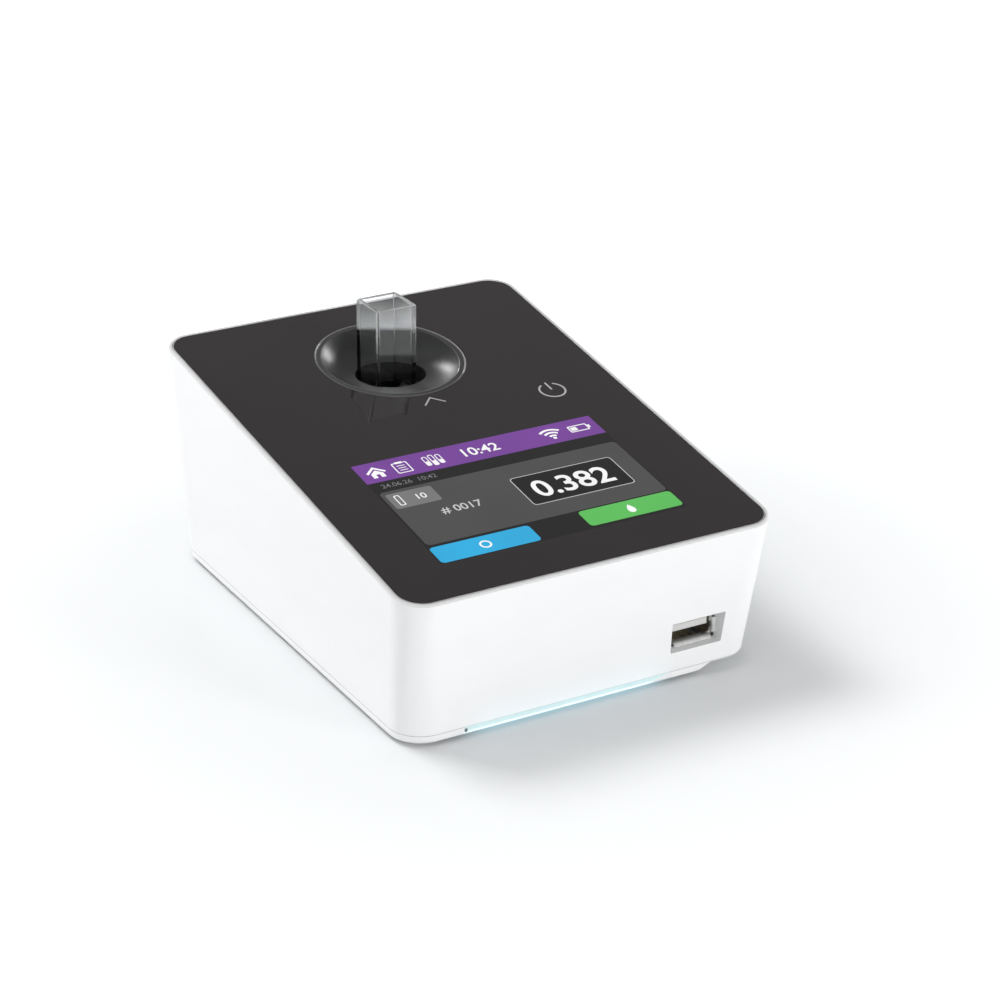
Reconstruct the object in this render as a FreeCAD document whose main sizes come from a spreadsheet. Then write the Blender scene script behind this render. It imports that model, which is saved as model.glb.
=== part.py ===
"""Cell density meter: a wedge-shaped bench instrument with a glass top, a screen and a sample bowl.

Frame: +Z is up, the front faces -Y and +X is to the right of someone who reads the screen. The origin lies
on the table under the middle of the instrument. All sizes are millimetres and all angles are degrees.

The glass lies on a sloping deck. What belongs to the deck is placed in deck terms: u to the right, v up the
slope and w out of the glass, counted from the middle of the glass's top face.
"""
import FreeCAD, Part
import math
import os
import re

import Sketcher
from FreeCAD import Placement, Rotation, Vector

SIZES = {
    # Glass panel on its sloping deck
    "panel_width": 109.5,
    "panel_length": 146.6,
    "panel_thick": 2.0,
    "panel_corner": 7.1,
    "panel_edge": 0.3,
    "panel_gap": 0.15,
    "panel_tilt": 8.48,
    "deck_height": 54.1,
    "gasket_thick": 0.3,
    "gasket_inset": 1.0,
    # Moulded housing: the outline under the rim, its draft and its walls
    "rim_width": 1.1,
    "rim_round": 0.35,
    "side_draft": 2.6,
    "front_lean": 5.65,
    "back_lean": 3.6,
    "base_corner": 9.3,
    "wall": 2.5,
    "deck_thick": 2.5,
    "boss_radius": 3.5,
    "boss_inset": 5.75,
    "boss_front": 40.0,
    "boss_back": 42.0,
    "boss_gap": 0.1,
    # Base tray and its feet
    "foot_stand": 1.0,
    "foot_radius": 5.0,
    "foot_pocket": 0.8,
    "foot_gap": 0.2,
    "foot_edge": 0.4,
    "foot_inset": 12.0,
    "seam_height": 2.4,
    "tray_edge": 0.8,
    "rim_rise": 3.0,
    "rim_thick": 1.6,
    "rim_gap": 0.15,
    "tray_boss_rise": 2.0,
    "tray_boss_radius": 5.0,
    "relief_start": 34.8,
    "relief_run": 4.5,
    "relief_back": 40.0,
    "relief_depth": 5.5,
    "relief_lip": 0.2,
    "relief_corner": 3.0,
    "relief_inner_corner": 4.6,
    # Screws: clearance hole, pilot hole, head and shank
    "hole_gap": 0.45,
    "thread_gap": 0.05,
    "head_radius": 2.8,
    "head_height": 1.8,
    "shank_radius": 1.25,
    "head_gap": 0.4,
    "head_sink": 0.3,
    "base_screw_length": 12.0,
    "board_screw_length": 6.0,
    # Light strip in the front of the base
    "strip_width": 62.7,
    "strip_offset": 4.9,
    "strip_lip": 0.5,
    "strip_upright": 2.0,
    "strip_rise": 4.0,
    "strip_gap": 0.1,
    "lamp_board_thick": 1.2,
    "lamp_board_inset": 4.0,
    # Display under the glass
    "screen_offset": 0.5,
    "screen_front": 14.5,
    "screen_width": 73.6,
    "screen_height": 50.6,
    "display_border": 3.2,
    "display_thick": 3.4,
    "display_gap": 0.3,
    "film_thick": 0.25,
    "frame_thick": 1.0,
    "frame_reach": 5.8,
    "frame_boss_radius": 2.8,
    "frame_hole_side": 30.0,
    # Touch power key
    "key_side": 34.4,
    "key_gap": 5.0,
    "key_radius": 8.0,
    "key_thick": 0.8,
    # Sample bowl
    "bowl_back": 33.1,
    "bowl_radius": 21.2,
    "bowl_gap": 0.1,
    "bowl_lip": 1.4,
    "bowl_wall": 2.0,
    "bowl_waist": 16.2,
    "bowl_waist_share": 0.3,
    "bowl_depth": 4.53,
    "bowl_hole_margin": 0.06,
    "bowl_flange_reach": 2.8,
    "bowl_flange_thick": 1.5,
    "bowl_neck": 5.0,
    "bowl_neck_gap": 0.1,
    # Cuvette and its holder
    "cuvette_side": 12.5,
    "cuvette_height": 45.0,
    "cuvette_wall": 1.2,
    "cuvette_floor": 1.5,
    "cuvette_edge": 0.5,
    "well_room": 1.7,
    "well_depth": 18.3,
    "well_gap": 0.05,
    "tube_bore_radius": 8.2,
    "holder_side": 30.0,
    "holder_floor": 4.0,
    "ear_reach": 8.0,
    "ear_width": 14.0,
    "ear_thick": 4.0,
    "spring_thick": 0.3,
    "spring_width": 10.0,
    "spring_height": 6.0,
    "spring_rise": 0.5,
    # Optics across the well
    "beam_height": 8.5,
    "beam_radius": 1.5,
    "lens_gap": 0.1,
    "optic_depth": 4.0,
    "lens_radius": 3.0,
    "lens_thick": 1.6,
    "lens_crown": 0.6,
    "lamp_radius": 2.5,
    "lamp_length": 8.0,
    "lamp_flange": 0.4,
    "detector_length": 4.0,
    "optic_board_side": 22.0,
    "optic_board_high": 8.0,
    "optic_hole_side": 8.0,
    "optic_pillar_radius": 2.6,
    # Circuit boards
    "board_thick": 1.6,
    "board_level": 9.0,
    "board_gap": 0.2,
    "board_side_gap": 3.0,
    "board_battery_gap": 4.0,
    "board_back": 14.0,
    "board_hole_inset": 4.5,
    "far_hole_inset": 9.0,
    "socket_hole_side": 13.1,
    "screw_end_gap": 0.5,
    "post_radius": 3.0,
    "notch_gap": 0.7,
    # USB socket in the front
    "usb_inset": 12.6,
    "usb_width": 13.1,
    "usb_height": 5.9,
    "usb_length": 14.0,
    "usb_metal": 0.4,
    "usb_flare": 0.45,
    "usb_flare_length": 1.2,
    "usb_slit": 0.8,
    "usb_recess": 3.0,
    "usb_window_gap": 0.2,
    "usb_window_flare": 1.0,
    "usb_wall_side": 6.5,
    "usb_wall_rise": 3.8,
    "usb_seat": 0.1,
    "tongue_gap": 0.65,
    "tongue_thick": 1.84,
    "tongue_drop": 0.7,
    "tongue_setback": 1.0,
    "contact_width": 1.0,
    "contact_length": 8.0,
    "contact_thick": 0.2,
    "contact_pitch": 2.3,
    # Power inlet in the back
    "inlet_margin": 1.5,
    "inlet_rise": 6.5,
    "inlet_width": 9.0,
    "inlet_height": 11.0,
    "inlet_length": 14.0,
    "inlet_bore": 3.2,
    "inlet_bore_depth": 9.0,
    "inlet_pin_radius": 1.0,
    "inlet_pin_setback": 1.0,
    "inlet_window": 4.2,
    "inlet_gap": 0.3,
    "power_board_width": 16.0,
    "power_board_length": 24.0,
    "power_board_setback": 0.5,
    "power_post_side": 5.0,
    "rear_post_inset": 6.0,
    # Battery and its strap
    "battery_width": 34.0,
    "battery_length": 52.0,
    "battery_height": 20.0,
    "battery_margin": 2.0,
    "battery_boss_gap": 2.5,
    "battery_corner": 3.0,
    "battery_gap": 0.3,
    "strap_width": 14.0,
    "strap_thick": 1.0,
    "strap_foot": 9.0,
    "fence_height": 4.0,
    "fence_thick": 1.0,
    # Parts on the main board
    "chip_side": 14.0,
    "chip_thick": 1.4,
    "chip_left": 7.0,
    "chip_gap": 5.0,
    "radio_width": 18.0,
    "radio_length": 11.0,
    "radio_thick": 3.0,
    "radio_left": 0.0,
    "radio_gap": 7.0,
    "connector_offset": 4.87,
    "connector_width": 20.0,
    "connector_depth": 5.0,
    "connector_height": 2.5,
    "buzzer_radius": 6.0,
    "buzzer_height": 5.5,
    "buzzer_inset": 12.0,
    "buzzer_front": 12.0,
    "ribbon_side": 10.0,
    "ribbon_width": 16.0,
    "ribbon_thick": 0.3,
    "ribbon_bend": 1.5,
    "cut_over": 0.5,
}

DERIVED = {
    "half_width": "panel_width / 2 + rim_width",
    "half_length": "panel_length / 2 + rim_width",
    "rim_corner": "panel_corner + rim_width",
    "front_edge_height": "deck_height - half_length * sin(panel_tilt)",
    "back_edge_height": "deck_height + half_length * sin(panel_tilt)",
    "base_side": "half_width - side_draft",
    "base_front": "half_length * cos(panel_tilt) - front_lean",
    "base_back": "half_length * cos(panel_tilt) - back_lean",
    "floor_level": "foot_stand + seam_height",
    "ledge_depth": "panel_thick + gasket_thick",
    "deck_under": "ledge_depth + deck_thick",
    "inside_side": "base_side - wall",
    "inside_front": "base_front - wall",
    "inside_back": "base_back - wall",
    "rim_side": "inside_side - rim_gap - rim_thick",
    "rim_front": "inside_front - rim_gap - rim_thick",
    "tray_boss_top": "floor_level + tray_boss_rise",
    "boss_side": "inside_side - boss_inset",
    "hole_radius": "shank_radius + hole_gap",
    "pilot_radius": "shank_radius + thread_gap",
    "counterbore_radius": "head_radius + head_gap",
    "counterbore_depth": "head_height + head_sink",
    "display_width": "screen_width + 2 * display_border",
    "display_height": "screen_height + 2 * display_border",
    "screen_v": "screen_front + screen_height / 2 - panel_length / 2",
    "display_under": "panel_thick + film_thick + display_thick",
    "frame_hole_v": "display_height / 2 + frame_reach / 2",
    "key_v": "screen_v + display_height / 2 + key_gap + key_radius",
    "bowl_v": "panel_length / 2 - bowl_back",
    "well_y": "bowl_v * cos(panel_tilt)",
    "bowl_rim_height": "deck_height + bowl_v * sin(panel_tilt)",
    "bowl_hole_height": "bowl_rim_height - bowl_depth",
    "bowl_hole_radius": "well_side * sqrt(2) / 2 + bowl_hole_margin",
    "bowl_flange_radius": "bowl_radius + bowl_flange_reach",
    "holder_top": "bowl_hole_height - bowl_neck",
    "well_side": "cuvette_side + well_room",
    "cuvette_bottom": "holder_top - well_depth",
    "cuvette_top": "cuvette_bottom + cuvette_height",
    "cuvette_shift": "well_side / 2 - cuvette_side / 2 - well_gap",
    "beam_level": "cuvette_bottom + beam_height",
    "holder_bottom": "cuvette_bottom - holder_floor",
    "spring_sag": "well_side - cuvette_side - 3 * well_gap",
    "spring_radius": "spring_height * spring_height / (8 * spring_sag) + spring_sag / 2",
    "optic_bore_radius": "lens_radius + lens_gap",
    "spring_level": "beam_level + optic_bore_radius + spring_rise + spring_height / 2",
    "lens_face": "holder_side / 2 - optic_depth",
    "lamp_face": "lens_face + lens_thick + lens_crown + well_gap",
    "source_board_face": "lamp_face + lamp_length",
    "detector_board_face": "lens_face + detector_length + well_gap",
    "battery_side": "rim_side - battery_margin - battery_width / 2",
    "battery_front": "boss_front - boss_radius - battery_boss_gap",
    "board_left": "battery_side - battery_width / 2 - board_battery_gap",
    "board_right": "rim_side - board_side_gap",
    "board_front": "rim_front - board_gap",
    "board_top": "board_level + board_thick",
    "usb_side": "board_right - usb_inset",
    "buzzer_side": "board_right - buzzer_inset",
    "connector_front": "connector_offset - screen_v * cos(panel_tilt)",
    "chip_front": "connector_front - connector_depth - chip_gap",
    "radio_front": "chip_front - chip_side - radio_gap",
    "tongue_width": "usb_width - 2 * usb_metal - 2 * tongue_gap",
    "inlet_side": "boss_side - boss_radius - inlet_margin - power_board_width / 2",
    "usb_level": "board_top + usb_seat + usb_height / 2",
    "usb_wall_y": "base_front + front_lean * (usb_level - foot_stand) / (front_edge_height - foot_stand)",
    "usb_face_y": "usb_wall_y - usb_recess",
    "inlet_level": "board_top + inlet_rise",
    "inlet_wall_y": "base_back + back_lean * (inlet_level - foot_stand) / (back_edge_height - foot_stand)",
    "inlet_face_y": "inlet_wall_y - wall - inlet_gap",
    "strip_inner_y": "inside_front - rim_gap",
    "battery_y": "battery_length / 2 - battery_front",
    "strap_bend": "battery_gap + strap_thick / 2",
    "lens_curve": "lens_radius * lens_radius / (2 * lens_crown) + lens_crown / 2",
}

doc = FreeCAD.newDocument("cell_density_meter")
sheet = doc.addObject("Spreadsheet::Sheet", "sizes")
for row, (alias, number) in enumerate(SIZES.items(), start=1):
    sheet.set(f"A{row}", alias)
    sheet.set(f"B{row}", str(number))
    sheet.setAlias(f"B{row}", alias)
doc.recompute()

SUB_PARTS = []


def formula(text):
    """Writes out an expression: sizes become cells of the sheet and derived names their own formulas."""
    def written_out(match):
        word = match.group(0)
        if word in SIZES:
            return "sizes." + word
        if word in DERIVED:
            return "(" + formula(DERIVED[word]) + ")"
        return word
    return re.sub(r"[a-z_]+", written_out, str(text))


def number(text):
    """The value that an expression has with the sizes in the sheet."""
    result = sheet.evalExpression(formula(text).replace("sizes.", ""))
    return float(getattr(result, "Value", result))


def bind(thing, **properties):
    """Binds properties of an object to expressions."""
    for name, text in properties.items():
        thing.setExpression(name, formula(text))
    return thing


def place(thing, x="0", y="0", z="0", axis=None, angle=None):
    """Puts an object at x, y, z, turned by an angle about an axis."""
    turn = Rotation(axis, number(angle)) if axis else Rotation()
    thing.Placement = Placement(Vector(number(x), number(y), number(z)), turn)
    for letter, text in zip("xyz", (x, y, z)):
        thing.setExpression("Placement.Base." + letter, formula(text))
    if angle is not None and angle in SIZES:
        thing.setExpression("Placement.Rotation.Angle", formula(angle))
    return thing


def deck_point(v, w):
    """The y and z of a point that lies v up the slope and w out of the glass."""
    return (
        f"({v}) * cos(panel_tilt) - ({w}) * sin(panel_tilt)",
        f"deck_height + ({v}) * sin(panel_tilt) + ({w}) * cos(panel_tilt)",
    )


def on_deck(thing, u="0", v="0", w="0"):
    """Puts an object on the sloping deck, u to the right, v up the slope and w out of the glass."""
    return place(thing, u, *deck_point(v, w), Vector(1, 0, 0), "panel_tilt")


def sub_part(thing, label):
    """Names a finished piece and lists it for export."""
    thing.Label = label
    SUB_PARTS.append(thing)
    return thing


def box(name, x, y, z, length, width, height):
    """A box whose lowest corner is at x, y, z."""
    block = doc.addObject("Part::Box", name)
    bind(block, Length=length, Width=width, Height=height)
    return place(block, x, y, z)


def rod(name, radius, height, x="0", y="0", z="0", along="Z"):
    """A round bar that starts at x, y, z and runs along an axis."""
    bar = doc.addObject("Part::Cylinder", name)
    bind(bar, Radius=radius, Height=height)
    turns = {
        "X": (Vector(0, 1, 0), "90"),
        "-X": (Vector(0, 1, 0), "-90"),
        "Y": (Vector(1, 0, 0), "-90"),
        "-Y": (Vector(1, 0, 0), "90"),
        "Z": (None, None),
        "-Z": (Vector(1, 0, 0), "180"),
    }
    return place(bar, x, y, z, *turns[along])


def fuse(name, *members):
    """Joins pieces into one solid."""
    joined = doc.addObject("Part::MultiFuse", name)
    joined.Shapes = list(members)
    joined.Refine = True
    return joined


def common(name, *members):
    """What all the pieces share."""
    shared = doc.addObject("Part::MultiCommon", name)
    shared.Shapes = list(members)
    return shared


def cut(name, base, *tools):
    """A piece less one or more tools."""
    taken = doc.addObject("Part::Cut", name)
    taken.Base = base
    taken.Tool = tools[0] if len(tools) == 1 else fuse(name + "_tools", *tools)
    taken.Refine = True
    return taken


def group(name, *members):
    """Like pieces that stay separate solids in one node."""
    gathered = doc.addObject("Part::Compound", name)
    gathered.Links = list(members)
    return gathered


def new_body(name):
    """An empty PartDesign body."""
    return doc.addObject("PartDesign::Body", name)


def new_sketch(body, name, plane="XY_Plane", at=("0", "0", "0"), tilt=None):
    """A sketch on one of its body's own planes, moved to a point and tilted about its first axis."""
    sketch = body.newObject("Sketcher::SketchObject", name)
    origin_plane = next(item for item in body.Origin.OriginFeatures if item.Role == plane)
    sketch.AttachmentSupport = [(origin_plane, "")]
    sketch.MapMode = "FlatFace"
    turn = Rotation(Vector(1, 0, 0), number(tilt)) if tilt else Rotation()
    sketch.AttachmentOffset = Placement(Vector(*(number(text) for text in at)), turn)
    for letter, text in zip("xyz", at):
        sketch.setExpression("AttachmentOffset.Base." + letter, formula(text))
    if tilt:
        sketch.setExpression("AttachmentOffset.Rotation.Angle", formula(tilt))
    return sketch


def constrain(sketch, text, *terms):
    """A dimension of a sketch, bound to an expression."""
    index = sketch.addConstraint(Sketcher.Constraint(*terms, number(text)))
    sketch.setExpression(f"Constraints[{index}]", formula(text))


def rounded_rectangle(sketch, left, right, front, back, corner):
    """A closed outline round the sketch's origin, from four distances and a corner radius."""
    far = {"l": -number(left), "r": number(right), "f": -number(front), "b": number(back)}
    r = number(corner)
    inner = {"l": far["l"] + r, "r": far["r"] - r, "f": far["f"] + r, "b": far["b"] - r}
    corners = [("l", "f", 180), ("r", "f", 270), ("r", "b", 0), ("l", "b", 90)]
    sides = [
        ((inner["l"], far["f"]), (inner["r"], far["f"])),
        ((far["r"], inner["f"]), (far["r"], inner["b"])),
        ((inner["r"], far["b"]), (inner["l"], far["b"])),
        ((far["l"], inner["b"]), (far["l"], inner["f"])),
    ]
    for start, end in sides:
        sketch.addGeometry(Part.LineSegment(Vector(*start, 0), Vector(*end, 0)))
    for across, along, start in corners:
        circle = Part.Circle(Vector(inner[across], inner[along], 0), Vector(0, 0, 1), r)
        sketch.addGeometry(Part.ArcOfCircle(circle, math.radians(start), math.radians(start + 90)))
    for side, arc_before, arc_after in ((0, 4, 5), (1, 5, 6), (2, 6, 7), (3, 7, 4)):
        sketch.addConstraint(Sketcher.Constraint("Tangent", arc_before, 2, side, 1))
        sketch.addConstraint(Sketcher.Constraint("Tangent", side, 2, arc_after, 1))
    for line in (0, 2):
        sketch.addConstraint(Sketcher.Constraint("Horizontal", line))
    for line in (1, 3):
        sketch.addConstraint(Sketcher.Constraint("Vertical", line))
    for arc in (5, 6, 7):
        sketch.addConstraint(Sketcher.Constraint("Equal", 4, arc))
    constrain(sketch, corner, "Radius", 4)
    constrain(sketch, left, "DistanceX", 3, 1, -1, 1)
    constrain(sketch, right, "DistanceX", -1, 1, 1, 1)
    constrain(sketch, front, "DistanceY", 0, 1, -1, 1)
    constrain(sketch, back, "DistanceY", -1, 1, 2, 1)
    return sketch


def circle(sketch, radius):
    """A circle round the sketch's origin."""
    sketch.addGeometry(Part.Circle(Vector(0, 0, 0), Vector(0, 0, 1), number(radius)))
    sketch.addConstraint(Sketcher.Constraint("Coincident", 0, 3, -1, 1))
    constrain(sketch, radius, "Radius", 0)
    return sketch


def pad(body, sketch, length, reverse=False):
    """Raises a sketch by a length."""
    raised = body.newObject("PartDesign::Pad", sketch.Name + "_pad")
    raised.Profile = sketch
    raised.Reversed = reverse
    bind(raised, Length=length)
    return raised


def pocket(body, sketch, depth, reverse=False):
    """Sinks a sketch into its body."""
    sunk = body.newObject("PartDesign::Pocket", sketch.Name + "_pocket")
    sunk.Profile = sketch
    sunk.Reversed = reverse
    bind(sunk, Length=depth)
    return sunk


def loft(body, name, sketches, inward=False, ruled=True):
    """Stretches a solid, or a hollow, over a row of sketches, in straight or smooth bands."""
    kind = "PartDesign::SubtractiveLoft" if inward else "PartDesign::AdditiveLoft"
    stretched = body.newObject(kind, name)
    stretched.Profile = sketches[0]
    stretched.Sections = [(section, [""]) for section in sketches[1:]]
    stretched.Ruled = ruled
    return stretched


def screw(name, length, x, y, z, up=True):
    """A pan-head screw; z is the seat of its head, and the shank runs up or down from there."""
    shank = rod(name + "_shank", "shank_radius", length, x, y, z, "Z" if up else "-Z")
    head = rod(name + "_head", "head_radius", "head_height", x, y, z, "-Z" if up else "Z")
    return fuse(name, shank, head)


def envelope(name):
    """The closed outer form, stretched over its outlines from the rounded underside up to the rim."""
    body = new_body(name)
    outlines = []
    for degrees in (90, 60, 30, 0):
        inset = f"tray_edge * (1 - cos({degrees}))"
        rise = f"tray_edge * (1 - sin({degrees}))"
        share = f"({rise}) / (deck_height - foot_stand)"
        ring = new_sketch(body, f"{name}_ring_{degrees}", at=("0", "0", f"foot_stand + {rise}"))
        side = f"base_side + side_draft * {share} - {inset}"
        front = f"base_front + front_lean * {share} - {inset}"
        back = f"base_back + back_lean * {share} - {inset}"
        outlines.append(rounded_rectangle(ring, side, side, front, back, f"base_corner - {inset}"))
    for step, inset in (("- rim_round", "0"), ("", "rim_round")):
        at = ("0", *deck_point("0", f"0 {step}"))
        rim = new_sketch(body, f"{name}_rim_{len(outlines)}", at=at, tilt="panel_tilt")
        side, end = f"half_width - {inset}", f"half_length - {inset}"
        outlines.append(rounded_rectangle(rim, side, side, end, end, f"rim_corner - {inset}"))
    loft(body, name + "_loft", outlines)
    return body


def cavity(name):
    """The hollow of the housing, from below its seam to the underside of the deck."""
    body = new_body(name)
    base = new_sketch(body, name + "_base", at=("0", "0", "foot_stand"))
    rounded_rectangle(base, "inside_side", "inside_side", "inside_front", "inside_back", "base_corner - wall")
    roof = new_sketch(body, name + "_roof", at=("0", *deck_point("0", "-deck_under")), tilt="panel_tilt")
    side, end = "half_width - wall", "half_length - wall"
    rounded_rectangle(roof, side, side, end, end, "rim_corner - wall")
    loft(body, name + "_loft", [base, roof])
    return body


def deck_plate(name, width, length, corner, thick, w="0"):
    """A plate with round corners in the middle of the deck, from w downwards."""
    body = new_body(name)
    outline = new_sketch(body, name + "_outline")
    half = (f"({width}) / 2", f"({length}) / 2")
    rounded_rectangle(outline, half[0], half[0], half[1], half[1], corner)
    pad(body, outline, thick, reverse=True)
    on_deck(body, w=w)
    return body


def deck_box(name, width, height, thick, u="0", v="0", w="0"):
    """A box on the deck, centred on u and v, from w downwards."""
    block = doc.addObject("Part::Box", name)
    bind(block, Length=width, Width=height, Height=thick)
    return on_deck(block, f"({u}) - ({width}) / 2", f"({v}) - ({height}) / 2", f"({w}) - ({thick})")


def deck_rod(name, radius, thick, u="0", v="0", w="0"):
    """A round bar square to the deck, from w downwards."""
    bar = doc.addObject("Part::Cylinder", name)
    bind(bar, Radius=radius, Height=thick)
    return on_deck(bar, u, v, f"({w}) - ({thick})")


def below_seam(name):
    """Everything from under the feet up to the seam between tray and housing."""
    side, depth = "half_width + cut_over", "half_length + cut_over"
    return box(name, f"-({side})", f"-({depth})", "-cut_over",
               f"2 * ({side})", f"2 * ({depth})", "floor_level + cut_over")


def corner_spots(side, front, back):
    """The four places at the same distance from the middle, as x and y."""
    return [(f"{sign}({side})", y) for y in (f"-({front})", back) for sign in ("-", "")]


BASE_SCREW_SPOTS = corner_spots("boss_side", "boss_front", "boss_back")
FOOT_SPOTS = corner_spots("base_side - foot_inset", "base_front - foot_inset", "base_back - foot_inset")
FOOT_NAMES = ("foot_front_left", "foot_front_right", "foot_back_left", "foot_back_right")
DISPLAY_HOLES = [
    (f"{sign}frame_hole_side - screen_offset", f"screen_v {rise} frame_hole_v")
    for rise in ("-", "+") for sign in ("-", "")
]


def housing_cutters():
    """What is cut through the housing's walls and deck."""
    panel_seat = deck_plate("panel_seat", "panel_width + 2 * panel_gap", "panel_length + 2 * panel_gap",
                            "panel_corner + panel_gap", "ledge_depth + cut_over", "cut_over")
    display_window = deck_box("display_window", "display_width + 2 * display_gap",
                              "display_height + 2 * display_gap", "display_under + cut_over",
                              "-screen_offset", "screen_v")
    frame_room = deck_box("frame_room", "display_width + 2 * display_gap",
                          "display_height + 2 * frame_reach + 2 * display_gap", "frame_thick + display_gap",
                          "-screen_offset", "screen_v", "-display_under")
    key_window = deck_rod("key_window", "key_radius + display_gap", "deck_under + cut_over",
                          "key_side", "key_v")
    bowl_window = deck_rod("bowl_window", "bowl_radius + display_gap", "deck_under + cut_over",
                           v="bowl_v")
    return [panel_seat, display_window, frame_room, key_window, bowl_window, usb_window(), inlet_window()]


def usb_window():
    """The flared recess in the front wall that leads to the socket."""
    body = new_body("usb_window")
    mouths = []
    for name, out in (("inner", "-cut_over"), ("outer", "usb_recess + 2 * cut_over")):
        mouth = new_sketch(body, "usb_window_" + name, "XZ_Plane",
                           ("usb_side", "usb_level", f"usb_face_y + {out}"))
        spread = f"usb_flare + usb_window_gap + usb_window_flare * ({out}) / usb_recess"
        half_wide, half_high = f"usb_width / 2 + {spread}", f"usb_height / 2 + {spread}"
        rounded_rectangle(mouth, half_wide, half_wide, half_high, half_high, "usb_metal")
        mouths.append(mouth)
    loft(body, "usb_window_loft", mouths)
    return body


def inlet_window():
    """The round hole in the back wall that leads to the power inlet."""
    return rod("inlet_window", "inlet_window", "2 * wall + inlet_gap", "inlet_side",
               "inlet_face_y - cut_over", "inlet_level", "Y")


def upper_housing():
    """The white shell: drafted walls, a ledge for the glass, screw bosses and the deck's openings."""
    bosses = [
        rod(f"housing_boss_{index}", "boss_radius", "back_edge_height", x, y, "tray_boss_top + boss_gap")
        for index, (x, y) in enumerate(BASE_SCREW_SPOTS)
    ]
    display_bosses = [
        deck_rod(f"display_boss_{index}", "frame_boss_radius", "display_under", u, v)
        for index, (u, v) in enumerate(DISPLAY_HOLES)
    ]
    usb_wall = box("usb_wall", "usb_side - usb_width / 2 - usb_wall_side", "-(usb_wall_y + wall)",
                   "usb_level - usb_height / 2 - usb_wall_rise", "usb_width + 2 * usb_wall_side",
                   "usb_recess + wall", "usb_height + 2 * usb_wall_rise")
    hollow = cut("housing_hollow", cavity("housing_cavity"), *bosses, *display_bosses, usb_wall)
    shell = cut("housing_shell", envelope("housing_envelope"), below_seam("housing_below_seam"), hollow)
    pilots = [
        rod(f"housing_pilot_{index}", "pilot_radius", "base_screw_length + tray_boss_rise", x, y, "floor_level")
        for index, (x, y) in enumerate(BASE_SCREW_SPOTS)
    ]
    display_pilots = [
        deck_rod(f"display_pilot_{index}", "pilot_radius", "deck_thick + film_thick", u, v,
                 "-(ledge_depth + 2 * gasket_thick)")
        for index, (u, v) in enumerate(DISPLAY_HOLES)
    ]
    sub_part(cut("housing", shell, *housing_cutters(), *pilots, *display_pilots), "upper_housing")


def relief_cutter():
    """What the finger relief takes off the tray's band round its right front corner."""
    zone = new_body("relief_zone")
    under, over = "foot_stand - cut_over", "floor_level - relief_lip"
    levels = []
    for name, level in (("low", under), ("high", over)):
        run = f"relief_run * ({level} - foot_stand) / seam_height"
        sketch = new_sketch(zone, f"relief_zone_{name}", at=("base_side", "-base_front", level))
        rounded_rectangle(sketch, f"base_side - relief_start - {run}", "base_corner", "base_corner",
                          f"base_front - relief_back - {run}", "relief_corner")
        levels.append(sketch)
    loft(zone, "relief_zone_loft", levels)
    kept = new_body("relief_kept")
    low = new_sketch(kept, "relief_kept_low", at=("0", "0", under))
    high = new_sketch(kept, "relief_kept_high", at=("0", "0", "floor_level"))
    depth = "relief_depth * (1 + cut_over / seam_height)"
    rounded_rectangle(low, f"base_side - {depth}", f"base_side - {depth}", f"base_front - {depth}",
                      f"base_back - {depth}", "relief_inner_corner")
    rounded_rectangle(high, "base_side + relief_lip", "base_side + relief_lip", "base_front + relief_lip",
                      "base_back + relief_lip", "base_corner")
    loft(kept, "relief_kept_loft", [low, high])
    return cut("relief", zone, kept)


def tray_rim():
    """The upright frame on the tray that locates it inside the housing."""
    body = new_body("tray_rim")
    outer = new_sketch(body, "tray_rim_outer", at=("0", "0", "foot_stand + seam_height / 2"))
    sides = [f"inside_{side} - rim_gap" for side in ("side", "side", "front", "back")]
    rounded_rectangle(outer, *sides, "base_corner - wall - rim_gap")
    pad(body, outer, "seam_height / 2 + rim_rise")
    inner = new_sketch(body, "tray_rim_inner", at=("0", "0", "floor_level"))
    rounded_rectangle(inner, *[f"{side} - rim_thick" for side in sides],
                      "base_corner - wall - rim_gap - rim_thick")
    pocket(body, inner, "rim_rise + cut_over", reverse=True)
    return body


BOARD_HOLES = [
    ("board_hole_inset - board_left", "board_hole_inset - board_front"),
    ("board_hole_inset - board_left", "board_back - board_hole_inset"),
    ("board_right - far_hole_inset", "board_back - board_hole_inset"),
    ("usb_side - socket_hole_side", "board_hole_inset - board_front"),
]
POWER_BOARD_HOLES = [
    (f"inlet_side {sign} power_post_side", "inlet_face_y - inlet_length - board_hole_inset")
    for sign in ("-", "+")
]
STRAP_HOLES = [
    ("-battery_side", "-(battery_front + battery_gap + strap_thick + strap_foot / 2)"),
    ("-battery_side", "battery_length - battery_front + battery_gap + strap_thick + strap_foot / 2"),
]
HOLDER_HOLES = [(f"{sign}(holder_side / 2 + ear_reach / 2)", "well_y") for sign in ("-", "")]


def tray_posts():
    """Each post on the tray as its place, its radius and its top."""
    boards = [(*spot, "post_radius", "board_level") for spot in BOARD_HOLES + POWER_BOARD_HOLES]
    rear = [("inlet_side", "inlet_face_y - rear_post_inset", "post_radius", "board_level")]
    straps = [(*spot, "post_radius", "floor_level + strap_thick") for spot in STRAP_HOLES]
    pillars = [(*spot, "boss_radius", "holder_bottom") for spot in HOLDER_HOLES]
    bosses = [(*spot, "tray_boss_radius", "tray_boss_top") for spot in BASE_SCREW_SPOTS]
    return boards + rear + straps + pillars + bosses


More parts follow.
